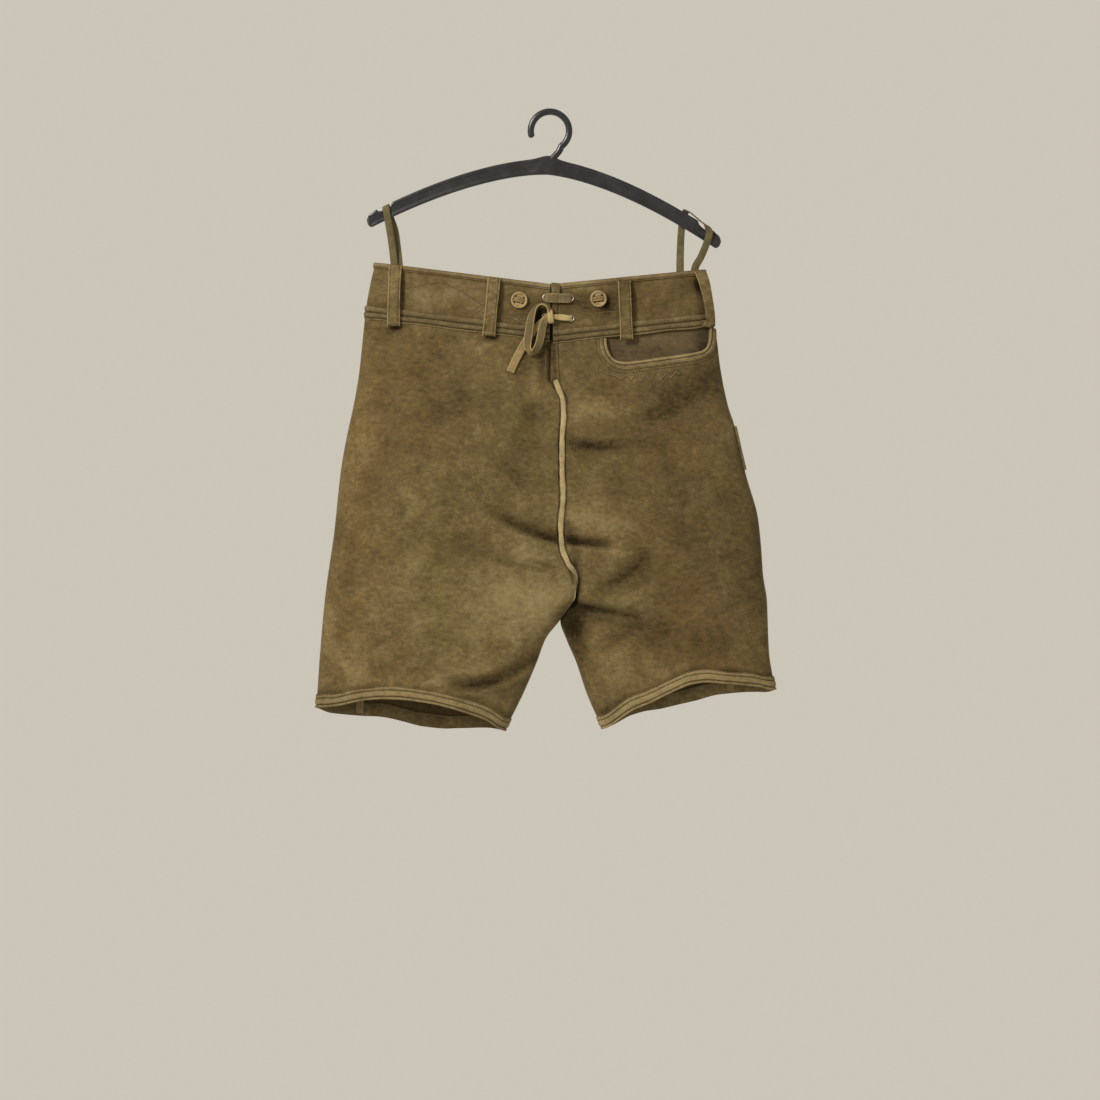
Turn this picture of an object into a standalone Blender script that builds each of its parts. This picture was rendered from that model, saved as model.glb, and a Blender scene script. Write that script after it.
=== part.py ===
"""Short leather trousers (lederhosen) hung by two ribbon loops from a moulded coat hanger.

Frame: metres, +Z up, origin at the inner top of the hanger's hook.  The back of the trousers
faces -Y and the wearer's right is +X.  Tables are in millimetres: "drop" is the distance
below the origin, and x runs across.

Each half of the trousers is a tube.  A point on it has a face ("back" or "front"), a
share s from the inner line (centre seam, then inseam) to the outer fold, and a drop.
The tube bulges from the middle plane by depth * (1 - t**P)**(1/P), where t runs from 0 at
the crown of the section to 1 at the outer fold, and from 0 to "close" at the inner line.
P is higher on the inner side, whose edge is sharper.
"""

import math

import bmesh
import bpy
import numpy as np
from mathutils import Vector

MM = 0.001
COLLECTION = "lederhosen_on_hanger"
CUTTERS = "cutters"

# ---------------------------------------------------------------- driving sizes (mm)
LEATHER = 1.8            # wall of the body panels
BAND_WALL = 3.0          # doubled leather of the waistband
TRIM = 1.3               # bindings, welts and straps
GAP = 0.3                # space between pieces
ROUNDNESS = 2.8          # P, exponent of the section's bulge
INNER_ROUNDNESS = 4.2    # P from the crown to the inner line
INNER_SHARE = 0.36       # share of a face's columns between the inner line and the crown
WRAP = 52.0              # the back panel's reach on to the front, at the side seam

HANGER_TILT = math.radians(3.5)
HANGER_THICK = 6.0
HOOK_RADIUS = 19.0       # inner radius of the hook
HOOK_BAR = 8.0

# ---------------------------------------------------------------- tables (mm)
# Outer folds: drop, x
LEFT_FOLD = (
    (178, -211.0), (204, -217.0), (229, -221.5), (266, -225.6), (311, -230.4),
    (340, -235.2), (397, -247.2), (426, -252.0), (503, -260.4), (570, -270.0),
    (604, -273.6), (647, -277.2), (710, -281.5),
)
RIGHT_FOLD = (
    (187, 184.5), (210, 189.0), (252, 194.5), (266, 198.4), (301, 202.8),
    (349, 212.4), (371, 219.6), (402, 226.8), (432, 234.0), (484, 248.4),
    (517, 252.0), (551, 254.4), (584, 259.2), (618, 260.4), (644, 261.6), (688, 268.8),
)
# Inner lines: drop, left x, right x.  The slit ends at 330 and the legs part at 607.
INNER_LINES = (
    (178, -0.6, 1.8), (257, -1.8, 2.6), (289, -4.0, 4.2), (316, -4.0, 6.0),
    (330, 8.85, 9.15), (341, 15.0, 15.3), (361, 15.15, 15.45), (390, 13.05, 13.35),
    (425, 13.05, 13.35), (458, 14.25, 14.55), (493, 11.45, 11.75), (518, 13.05, 13.35),
    (539, 21.05, 21.35), (551, 27.85, 28.15), (564, 29.8, 30.2), (578, 28.7, 29.3),
    (593, 20.0, 20.8), (607, 10.2, 11.2), (628, -6.0, 18.0), (656, -16.8, 30.0),
    (695, -33.6, 43.2), (738, -55.2, 62.4),
)
# Sections: drop, back depth, front depth, crown (share s), close (0 open, 1 closed)
SECTIONS = (
    (178, 15, 14, 0.15, 0.00),
    (257, 18, 15, 0.15, 0.00),
    (316, 23, 16, 0.20, 0.00),
    (400, 31, 18, 0.25, 0.00),
    (470, 34, 20, 0.28, 0.00),
    (530, 33, 21, 0.30, 0.00),
    (551, 33, 22, 0.33, 0.30),
    (564, 32, 22, 0.36, 0.55),
    (578, 32, 22, 0.39, 0.78),
    (593, 31, 22, 0.42, 0.94),
    (607, 30, 22, 0.46, 1.00),
    (650, 27, 22, 0.50, 1.00),
    (740, 24, 23, 0.50, 1.00),
)
# Edges: inner drop, outer drop
EDGES = {
    "waist_left": (205.2, 178.8),
    "waist_right": (205.2, 187.2),
    "seam_left": (256.8, 229.2),
    "seam_right": (259.2, 238.8),
    "hem_left": (738.0, 709.2),
    "hem_right": (737.0, 687.6),
}
# Sweep of each hem: share s, height over the straight line between the edge's two ends
HEM_SWEEPS = {
    "left_back": (
        (0.0, 1.0), (0.04, 2.6), (0.08, 6.2), (0.13, 10.4), (0.24, 15.5), (0.345, 19.3), (0.45, 21.6),
        (0.557, 22.1), (0.663, 20.3), (0.77, 15.4), (0.82, 11.5), (0.875, 6.7), (0.93, 3.0), (1.0, 0.0),
    ),
    "left_front": (
        (0.0, 1.0), (0.07, 1.2), (0.13, 0.2), (0.24, -3.5), (0.345, -6.7), (0.45, -7.1), (0.557, -4.4),
        (0.663, -2.1), (0.77, -3.8), (0.93, -4.9), (1.0, 0.0),
    ),
    "right_back": (
        (0.0, 2.2), (0.04, 2.8), (0.1, 6.2), (0.157, 10.4), (0.215, 14.2), (0.33, 18.0), (0.45, 24.0),
        (0.564, 28.2), (0.622, 27.4), (0.74, 20.2), (0.855, 12.1), (0.913, 7.8), (0.97, 1.5), (1.0, 0.0),
    ),
    "right_front": (
        (0.0, 2.2), (0.06, 2.6), (0.1, 4.2), (0.2, 8.3), (0.273, 9.1), (0.39, 7.2), (0.56, 7.3), (0.68, 8.4),
        (0.8, 5.8), (0.913, 1.3), (0.97, -1.2), (1.0, 0.0),
    ),
}
# Largest folds of the back: x and drop of both ends, depth inwards, half-width
FOLDS = (
    (-83, 425, -2, 510, 4.0, 13.0),
    (-53, 486, 8, 518, 2.6, 11.0),
    (-115, 688, -18, 660, 4.5, 12.0),
    (22, 592, 97, 598, 5.0, 11.0),
    (22, 510, 72, 517, 3.5, 10.0),
    (-40, 538, 24, 572, -2.4, 15.0),
)
# Rows of the body panels, as drops at the inner line
BODY_ROWS = (
    258.0, 288.0, 318.0, 342.0, 372.0, 405.0, 440.0, 475.0, 508.0, 532.0,
    551.0, 564.0, 578.0, 593.0, 607.0, 628.0, 656.0, 686.0, 714.0, 738.0,
)
BACK_COLUMNS = 12
WRAP_COLUMNS = 4
FRONT_COLUMNS = 8

# Belt loops: face, top x, top drop, bottom x, bottom drop
BELT_LOOPS = {
    "belt_loop_1": ("back", -186.0, 182.0, -188.2, 254.0),
    "belt_loop_2": ("back", -67.8, 196.0, -74.6, 266.0),
    "belt_loop_3": ("back", 87.4, 200.0, 90.5, 270.5),
    "belt_loop_4": ("back", 178.0, 189.0, 190.0, 255.0),
    "belt_loop_5": ("front", -105.0, 192.5, -108.0, 262.0),
    "belt_loop_6": ("front", 105.0, 197.0, 109.0, 268.0),
}
LOOP_WIDTH = 15.6
LOOP_WALL = 2.0
LOOP_RISE = 6.0          # clear height under a belt loop, for the belt
LOOP_REST = 2.5          # height of its caught ends over the skin
# Shape of a belt loop: share of its length, height of its under side
LOOP_SHAPE = (
    (0.0, LOOP_REST), (0.1, LOOP_REST + 1.6), (0.22, LOOP_RISE), (0.5, LOOP_RISE + 0.4),
    (0.74, LOOP_RISE), (0.9, LOOP_REST + 1.8), (1.0, LOOP_REST),
)

BUTTON_LIFT = 0.7
FLAP_BUTTON_LIFT = 3.3   # over the drop front
# Half section of a button: radius, height
BUTTON_PROFILE = (
    (0.0, 4.0), (9.2, 4.0), (10.0, 3.2), (10.0, 1.0), (9.0, 0.0), (0.0, 0.0),
)
BUTTONS = {
    "back_button_left": ("back", -38.0, 223.0),
    "back_button_right": ("back", 56.8, 221.5),
    "flap_button_left": ("front", -54.0, 226.0),
    "flap_button_right": ("front", 58.0, 226.0),
}
EYELETS = {
    "eyelet_1": (-6.2, 219.8),
    "eyelet_2": (23.5, 220.8),
    "eyelet_3": (-7.0, 242.8),
    "eyelet_4": (24.0, 244.8),
}
EYELET_RADIUS = 3.4
EYELET_WIRE = 0.9

# Scoop of the hip pocket, as the centre line of its binding: x and drop
SCOOP = (
    (62.8, 269.0), (63.2, 276.0), (64.9, 283.4), (68.6, 291.0), (74.6, 297.0), (81.8, 300.0),
    (92.0, 300.8), (106.0, 299.0), (128.0, 296.0), (148.0, 293.2), (164.0, 290.8), (175.0, 288.8),
    (183.2, 286.0), (188.8, 281.0), (191.8, 273.0), (192.6, 264.0), (192.6, 256.0),
)
SCOOP_BINDING = 6.0
SCOOP_BINDING_WALL = 1.6
SCOOP_OVERLAP = 1.0      # reach of the binding past the cut edge
SCOOP_CUT = (30.0, 25.0)     # the cutter's rise above the seam, and half its depth

PIPING_ROWS = (2, 10)    # first and last body row beside the piping
PIPING_PROFILE = ((-2.7, 0.8), (2.7, 0.8), (2.7, 1.3), (1.4, 2.6), (-1.4, 2.6), (-2.7, 1.3))
WELT_DROP = 6.0          # centre of the welt below the waist seam
WELT_PROFILE = (
    (-6.0, 0.5), (6.0, 0.5), (6.0, 1.7), (0.6, 1.7), (0.0, 1.2), (-0.6, 1.7), (-6.0, 1.7),
)
WELT_FRONT_END = 75.0    # the front welt stops this far from the centre, beside the drop front
BAND_HEM = 5.0           # reach of the waist binding below the top edge
HEM_REACH = 10.0         # reach of the leg binding above the hem
BINDING_GAP = 0.45       # space between a binding and the leather inside it
# Patches: left, right, top and bottom
GUSSET = (-15.0, 19.0, 212.5, 352.0)
FACING = (57.0, 186.0, None, 324.0)      # its top follows the waist seam
FLAP = (-66.0, 70.0, 214.0, 392.0)
FACING_GAP = 0.8         # space behind the panel
GUSSET_GAP = 0.6         # space behind the waistband
FLAP_GAP = 0.7           # space in front of the waistband
KNIFE_POUCH = (0.962, 0.800, 386.0, 556.0)   # outer and inner share s, top and bottom drop
POUCH_LIFT = 0.8
POUCH_MARGIN = 0.01      # share s between the pouch's edge and the flap's step over it
# Flap of the knife pocket, round the right outer fold: drop of its rows, reach on the back and
# on the front, and its height over the skin at the fold and over the pouch
KNIFE_FLAP_DROPS = (374.0, 387.0, 400.0, 413.0, 426.0)
KNIFE_FLAP_SHARES = (
    ("back", 0.992), ("back", 0.9985), ("front", 0.9985), ("front", 0.99), ("front", 0.97),
    ("front", 0.955), ("front", 0.90), ("front", 0.85), ("front", 0.79),
)
KNIFE_FLAP_LIFT = (0.6, 3.4)

# The lacing thong: x, drop, height over the waistband
LACE_WIDTH = 9.0
LACE_WALL = 1.4
LACE_UPPER_WIDTH = 10.5
LACE_LOOP_WIDTH = 7.6
LACE_LOWER_SECTION = (6.4, 2.2)
LACE_LEAN = math.radians(70)      # turn of the loop's strap on to its edge at the bends
LACE_BEND = 0.45                  # change of direction that gives the full turn
LACE_UPPER = (
    (-7.2, 220.3, 3.5), (-2.0, 220.3, 3.6), (8.4, 220.6, 3.6), (19.0, 220.9, 3.6), (24.0, 221.2, 3.5),
)
LACE_LOWER = ((7.0, 243.4, 4.6), (12.5, 243.9, 4.5), (18.5, 244.5, 4.3), (24.0, 245.0, 4.1))
LACE_KNOT = (-0.6, 242.8, 5.8)
LACE_KNOT_RADII = (6.4, 3.6, 5.0)
LACE_LOOP = (
    (-6.4, 230.2, 9.2), (-11.8, 227.8, 9.6), (-18.0, 231.6, 9.6), (-21.6, 240.0, 9.2),
    (-23.6, 251.0, 9.0), (-25.4, 263.0, 9.0), (-27.0, 273.5, 9.4), (-27.2, 281.5, 9.6),
    (-23.2, 286.2, 9.2), (-18.2, 282.4, 8.6), (-14.8, 274.0, 8.4), (-12.8, 264.0, 8.6),
    (-11.2, 255.0, 9.0),
)
LACE_TAIL = (
    (-8.4, 248.6, 4.6), (-14.6, 252.8, 4.6), (-22.0, 260.5, 4.2), (-30.0, 272.4, 3.8),
    (-36.8, 284.0, 3.2), (-43.0, 296.0, 2.6), (-48.8, 309.0, 2.2),
)

# Hanger loops, from inside the waistband over the arm and back: the strap's centre (x, y, drop)
# and the direction of its width (x, y, drop)
STRAP_WIDTH = 8.8
STRAP_WALL = 1.1
STRAP_LEFT = (
    (-187.0, -4.9, 206.0, 1, 0, 0), (-187.2, -4.4, 190.0, 1, 0, 0), (-187.8, -3.6, 180.0, 1, 0, 0),
    (-191.5, -4.0, 150.0, 1, 0, -0.1), (-196.5, -4.3, 121.0, 1, 0, -0.35),
    (-197.8, -4.1, 113.4, 1, 0, -0.5), (-198.2, -2.8, 109.7, 1, 0, -0.52),
    (-198.0, 0.0, 109.0, 1, 0, -0.54), (-197.6, 2.8, 109.2, 1, 0, -0.54),
    (-197.0, 4.4, 112.8, 1, 0, -0.5), (-193.4, 4.7, 122.0, 1, 0, -0.4),
    (-187.8, 3.9, 138.0, 1, 0, -0.2), (-185.4, 3.0, 152.0, 1, 0, 0), (-182.4, -0.6, 176.0, 1, 0, 0),
    (-181.6, -2.0, 190.0, 1, 0, 0), (-181.4, -2.6, 206.0, 1, 0, 0),
)
STRAP_RIGHT = (
    (154.8, -5.0, 210.0, 1, 0, 0), (154.8, -4.0, 190.0, 1, 0, 0), (155.0, 0.0, 172.0, 1, 0, 0),
    (155.6, 3.4, 154.0, 1, 0, 0), (156.6, 4.6, 138.0, 1, 0, 0), (158.4, 5.2, 126.0, 1, 0.1, 0.3),
    (161.5, 5.2, 116.0, 0.9, 0.4, 0.45), (166.5, 2.2, 116.6, 0.6, 0.8, 0.3),
    (172.5, 0.0, 121.4, 0.5, 0.85, 0.3), (179.5, -1.4, 127.6, 0.55, 0.8, 0.3),
    (185.6, -4.2, 132.6, 0.75, 0.6, 0.4), (189.4, -5.2, 139.5, 0.95, 0.2, 0.35),
    (189.4, -4.9, 145.0, 1, 0, 0.3), (186.0, -3.8, 156.0, 1, 0, 0.3), (179.6, -1.6, 171.0, 1, 0, 0.3),
    (173.4, -0.7, 182.0, 1, 0, 0.2), (171.6, -0.9, 194.0, 1, 0, 0), (171.0, -1.6, 208.0, 1, 0, 0),
)

# Hanger arms: lower edge = ARM_DROP + ARM_FALL * share ** ARM_CURVE below the hook's top
ARM_REACH = 207.0
ARM_DROP = 72.0
ARM_FALL = 76.0
ARM_CURVE = 1.6
ARM_HEIGHT = 19.0        # upright height of an arm
# Rounded end of an arm: x from ARM_REACH, and drop from the lower edge's end
ARM_END = ((2.0, -18.5), (5.0, -14.0), (6.5, -4.0), (4.0, 1.0), (0.0, 2.0))
HOOK_TURN = (math.radians(-52), math.radians(205))
NOTCH_AT = 192.5
NOTCH_WIDTH = 18.0
NOTCH_DEPTH = 5.0
NECK_WIDTH = 16.0
NECK_SINK = 2.0          # reach of the hook's stem into the arms

# ---------------------------------------------------------------- materials
MATERIALS = {
    "suede": ((0.19, 0.13, 0.058, 1.0), 0.92, 0.0),
    "suede_band": ((0.16, 0.115, 0.06, 1.0), 0.9, 0.0),
    "suede_light": ((0.32, 0.24, 0.115, 1.0), 0.9, 0.0),
    "thong": ((0.50, 0.40, 0.20, 1.0), 0.85, 0.0),
    "horn": ((0.46, 0.33, 0.17, 1.0), 0.5, 0.0),
    "brass": ((0.50, 0.42, 0.26, 1.0), 0.35, 1.0),
    "ribbon": ((0.16, 0.14, 0.09, 1.0), 0.9, 0.0),
    "black_plastic": ((0.015, 0.015, 0.017, 1.0), 0.35, 0.0),
}


# ---------------------------------------------------------------- sections of the trousers
def monotone(x, knots, values):
    """Monotone cubic through (knots, values), with knots rising."""
    knots = np.asarray(knots, float)
    values = np.asarray(values, float)
    x = np.asarray(x, float)
    width = np.diff(knots)
    slope = np.diff(values) / width
    tangent = np.zeros(len(knots))
    tangent[0] = slope[0]
    tangent[-1] = slope[-1]
    for i in range(1, len(knots) - 1):
        if slope[i - 1] * slope[i] > 0:
            a = 2 * width[i] + width[i - 1]
            b = width[i] + 2 * width[i - 1]
            tangent[i] = (a + b) / (a / slope[i - 1] + b / slope[i])
    i = np.clip(np.searchsorted(knots, x) - 1, 0, len(width) - 1)
    t = np.clip((x - knots[i]) / width[i], 0.0, 1.0)
    rise = t * t * (3 - 2 * t)
    lead = t * (1 - t) ** 2 * tangent[i] * width[i]
    tail = -t * t * (1 - t) * tangent[i + 1] * width[i]
    return values[i] + (values[i + 1] - values[i]) * rise + lead + tail


def column(table, index, drop):
    """One column of a table, read at a drop."""
    return monotone(drop, [row[0] for row in table], [row[index] for row in table])


def inner_x(side, drop):
    return column(INNER_LINES, 1 if side == "left" else 2, drop)


def outer_x(side, drop):
    return column(LEFT_FOLD if side == "left" else RIGHT_FOLD, 1, drop)


def fold_depth(x, drop):
    """Sum of the folds at a point of the back, inwards."""
    total = np.zeros(np.broadcast(x, drop).shape)
    for x0, d0, x1, d1, depth, width in FOLDS:
        run = np.array([x1 - x0, d1 - d0])
        along = ((x - x0) * run[0] + (drop - d0) * run[1]) / run.dot(run)
        along = np.clip(along, 0.0, 1.0)
        away2 = (x - x0 - along * run[0]) ** 2 + (drop - d0 - along * run[1]) ** 2
        total = total + depth * np.exp(-away2 / width ** 2)
    return total


def skin(side, face, s, drop):
    """Point of the outer surface (mm; x, y, drop)."""
    s = np.asarray(s, float)
    drop = np.asarray(drop, float)
    crown = column(SECTIONS, 3, drop)
    close = column(SECTIONS, 4, drop)
    outward = (s - crown) / (1 - crown)
    inward = close * (crown - s) / crown
    t = np.clip(np.where(s >= crown, outward, inward), 0.0, 1.0)
    power = np.where(s >= crown, ROUNDNESS, INNER_ROUNDNESS)
    bulge = (1 - t ** power) ** (1 / power)
    x = inner_x(side, drop)
    x = x + (outer_x(side, drop) - x) * s
    if face == "back":
        y = -(column(SECTIONS, 1, drop) - fold_depth(x, drop)) * bulge - GAP / 2
    else:
        y = column(SECTIONS, 2, drop) * bulge + GAP / 2
    return np.stack(np.broadcast_arrays(x, y, drop), axis=-1)


def edge_drop(edge, side, face, s):
    """Drop of a named edge at share s: the straight line, raised by a hem's sweep."""
    inner, outer = EDGES[edge + "_" + side]
    s = np.clip(s, 0.0, 1.0)
    drop = inner + (outer - inner) * s
    if edge == "hem":
        knots, heights = zip(*HEM_SWEEPS[side + "_" + face])
        drop = drop - monotone(s, knots, heights)
    return drop


def share(side, drop, q):
    """Share s of column q: even columns up to the crown, then even angles to the fold."""
    crown = column(SECTIONS, 3, drop)
    close = column(SECTIONS, 4, drop)
    angle = np.arcsin(np.clip(close, 0.02, 1.0) ** (ROUNDNESS / 2))
    a = np.clip(1 - q / INNER_SHARE, 0.0, 1.0)
    ratio = (np.sin(a * angle) / np.sin(angle)) ** (2 / ROUNDNESS)
    b = np.clip((q - INNER_SHARE) / (1 - INNER_SHARE), 0.0, 1.0)
    t = np.sin(b * math.pi / 2) ** (2 / ROUNDNESS)
    return np.where(q <= INNER_SHARE, crown * (1 - ratio), crown + (1 - crown) * t)


def wrap_column(side, drop, reach):
    """Column q that lies a given reach from the outer fold."""
    crown = column(SECTIONS, 3, drop)
    s = 1 - reach / np.abs(outer_x(side, drop) - inner_x(side, drop))
    t = np.clip((s - crown) / (1 - crown), 0.0, 1.0)
    b = np.arcsin(t ** (ROUNDNESS / 2)) * 2 / math.pi
    return INNER_SHARE + (1 - INNER_SHARE) * b


def place(side, face, upper, lower, v, q):
    """Point at share v between two edges and column q."""
    s = np.asarray(q, float)
    for _ in range(4):
        top = edge_drop(upper, side, face, s)
        drop = top + (edge_drop(lower, side, face, s) - top) * v
        s = share(side, drop, q)
    return skin(side, face, s, drop)


def half_columns(part):
    """Columns of half the tube, as (face, kind, fraction)."""
    back = [("back", "plain", i / BACK_COLUMNS) for i in range(BACK_COLUMNS + 1)]
    wrap = [("front", "wrap", i / WRAP_COLUMNS) for i in range(1, WRAP_COLUMNS + 1)]
    front = [("front", "rest", i / FRONT_COLUMNS) for i in range(FRONT_COLUMNS + 1)]
    return {"back": back + wrap, "front": front, "tube": back + wrap + front[1:]}[part]


def rows_grid(side, part, upper, lower, rows):
    """Grid of points (rows, columns) over a part of half the tube."""
    grid = []
    for v in rows:
        line = []
        for face, kind, fraction in half_columns(part):
            fold = place(side, face, upper, lower, v, np.array(0.95))
            if kind == "plain":
                q = fraction
            elif kind == "wrap":
                q = 1 - fraction * (1 - wrap_column(side, fold[2], WRAP))
            else:
                q = (1 - fraction) * wrap_column(side, fold[2], WRAP + GAP)
            line.append(place(side, face, upper, lower, v, np.array(q)))
        grid.append(line)
    return np.array(grid)


def grid_normals(grid):
    """Outward unit normals of half a tube: the mean of the facets round each point.

    Where the tube is closed, its first and last columns share their facets.
    """
    rows, columns = grid.shape[:2]
    facets = np.cross(grid[1:, 1:] - grid[:-1, :-1], grid[:-1, 1:] - grid[1:, :-1])
    facets /= np.linalg.norm(facets, axis=2, keepdims=True)
    normal = np.zeros(grid.shape)
    for dr in (0, 1):
        for dc in (0, 1):
            normal[dr:dr + rows - 1, dc:dc + columns - 1] += facets
    closed = np.linalg.norm(grid[:, 0] - grid[:, -1], axis=1) < 4 * GAP
    seam = normal[:, 0] + normal[:, -1]
    normal[closed, 0] = seam[closed]
    normal[closed, -1] = seam[closed]
    normal /= np.linalg.norm(normal, axis=2, keepdims=True)
    outward = np.sum(normal * (grid - grid.mean(axis=(0, 1))))
    return normal if outward > 0 else -normal


def spot(side, face, x, drop, height=0.0):
    """Point of the skin at x and drop, moved out by a height, and its normal."""
    def at(dx, dd):
        low = inner_x(side, drop + dd)
        s = (x + dx - low) / (outer_x(side, drop + dd) - low)
        return skin(side, face, min(max(s, -0.3), 1.0), drop + dd)
    normal = np.cross(at(0.8, 0) - at(-0.8, 0), at(0, 0.8) - at(0, -0.8))
    normal /= np.linalg.norm(normal)
    outward = -1.0 if face == "back" else 1.0
    if normal[1] * outward < 0:
        normal = -normal
    return at(0, 0) + normal * height, normal


def side_of(x, drop):
    return "left" if x < 0.5 * (inner_x("left", drop) + inner_x("right", drop)) else "right"


# ---------------------------------------------------------------- meshes
def new_material(name, kind):
    """A piece's own material, of one of the named kinds."""
    made = bpy.data.materials.new(name + "_" + kind)
    made.use_nodes = True
    shader = made.node_tree.nodes["Principled BSDF"]
    colour, roughness, metallic = MATERIALS[kind]
    shader.inputs["Base Color"].default_value = colour
    shader.inputs["Roughness"].default_value = roughness
    shader.inputs["Metallic"].default_value = metallic
    return made


def finish(name, mesh, material):
    """Object from a mesh, in the collection, with its own material."""
    mesh.materials.append(new_material(name, material))
    mesh.shade_smooth()
    mesh.set_sharp_from_angle(angle=math.radians(50))
    piece = bpy.data.objects.new(name, mesh)
    bpy.data.collections[COLLECTION].objects.link(piece)
    return piece


def to_metres(points):
    """Points (x, y, drop) in mm as (x, y, z) in metres."""
    flat = np.reshape(points, (-1, 3)).astype(float)
    return [(p[0] * MM, p[1] * MM, -p[2] * MM) for p in flat]


def shell(name, grid, normals, wall, material, lift=0.0):
    """Closed wall lofted between a grid of points and the same points moved in.

    The outer face lies a lift above the grid.
    """
    rows, columns = grid.shape[:2]
    points = np.concatenate([grid + normals * lift, grid + normals * (lift - wall)])
    size = rows * columns
    faces = []
    for r in range(rows - 1):
        for c in range(columns - 1):
            i = r * columns + c
            faces.append((i, i + 1, i + columns + 1, i + columns))
            faces.append((size + i, size + i + columns, size + i + columns + 1, size + i + 1))
    rim = list(range(columns))
    rim += [r * columns + columns - 1 for r in range(1, rows)]
    rim += [(rows - 1) * columns + c for c in range(columns - 2, -1, -1)]
    rim += [r * columns for r in range(rows - 2, 0, -1)]
    for a, b in zip(rim, rim[1:] + rim[:1]):
        faces.append((b, a, size + a, size + b))
    mesh = bpy.data.meshes.new(name)
    mesh.from_pydata(to_metres(points), [], faces)
    if signed_volume(mesh) < 0:
        mesh.flip_normals()
    return finish(name, mesh, material)


def sweep(name, centres, outs, sides, profile, material, ring=False):
    """Profile (side, out) in mm, carried along centres; capped, or closed in a ring."""
    centres = np.asarray(centres, float)
    count = len(centres)
    size = len(profile)
    points = []
    for centre, out, side in zip(centres, outs, sides):
        points += [centre + side * a + out * b for a, b in profile]
    faces = []
    for k in range(count if ring else count - 1):
        low = k * size
        high = (k + 1) % count * size
        for j in range(size):
            n = (j + 1) % size
            faces.append((low + j, low + n, high + n, high + j))
    if not ring:
        faces.append(tuple(range(size))[::-1])
        faces.append(tuple(range((count - 1) * size, count * size)))
    mesh = bpy.data.meshes.new(name)
    mesh.from_pydata(to_metres(points), [], faces)
    if signed_volume(mesh) < 0:
        mesh.flip_normals()
    return finish(name, mesh, material)


def signed_volume(mesh):
    """Volume inside a closed mesh; negative when its faces point in."""
    mesh.calc_loop_triangles()
    total = 0.0
    for triangle in mesh.loop_triangles:
        a, b, c = (mesh.vertices[i].co for i in triangle.vertices)
        total += a.dot(b.cross(c)) / 6
    return total


def directions(centres, ring=False):
    """Unit tangents along a line of points."""
    if ring:
        step = np.roll(centres, -1, axis=0) - np.roll(centres, 1, axis=0)
    else:
        step = np.gradient(centres, axis=0)
    return step / np.linalg.norm(step, axis=1, keepdims=True)


def smooth_path(points, per_span):
    """Catmull-Rom curve through hand-placed points."""
    p = np.asarray(points, float)
    p = np.vstack([2 * p[0] - p[1], p, 2 * p[-1] - p[-2]])
    path = []
    for i in range(1, len(p) - 2):
        for k in range(per_span):
            t = k / per_span
            a = 2 * p[i]
            b = p[i + 1] - p[i - 1]
            c = 2 * p[i - 1] - 5 * p[i] + 4 * p[i + 1] - p[i + 2]
            d = 3 * p[i] - p[i - 1] - 3 * p[i + 1] + p[i + 2]
            path.append(0.5 * (a + b * t + c * t ** 2 + d * t ** 3))
    path.append(p[-2])
    return np.array(path)


def flat_profile(width, wall, low=None):
    """Strap section with its under side at height low."""
    low = -wall / 2 if low is None else low
    w = width / 2
    return [(-w, low), (w, low), (w, low + wall), (-w, low + wall)]


# ---------------------------------------------------------------- pieces of the body
def body_rows(side):
    """Shares v of the body's rows between the waist seam and the hem."""
    top = EDGES["seam_" + side][0]
    hem = EDGES["hem_" + side][0]
    shares = [(drop - top) / (hem - top) for drop in BODY_ROWS]
    shares[0] = GAP / (hem - top)
    shares[-1] = 1 - 3 * GAP / (hem - top)
    return shares


def build_body():
    grids = {}
    for side in ("left", "right"):
        for part in ("back", "front"):
            grid = rows_grid(side, part, "seam", "hem", body_rows(side))
            normals = grid_normals(rows_grid(side, "tube", "seam", "hem", body_rows(side)))
            wide = BACK_COLUMNS + WRAP_COLUMNS + 1
            normals = normals[:, :wide] if part == "back" else normals[:, wide - 1:]
            grids[part, side] = (grid, normals)
            shell(part + "_" + side, grid, normals, LEATHER, "suede")
    return grids


def build_seat_piping(grid, normals):
    """Half-round piping over the centre-back seam."""
    first, last = PIPING_ROWS
    rows = slice(first, last + 1)
    centres = grid[rows, 0]
    outs = normals[rows, 0] * np.array([0, 1, 1])
    outs /= np.linalg.norm(outs, axis=1, keepdims=True)
    sides = np.cross(directions(centres), outs)
    sweep("seat_piping", centres, outs, sides, PIPING_PROFILE, "thong")


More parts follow.
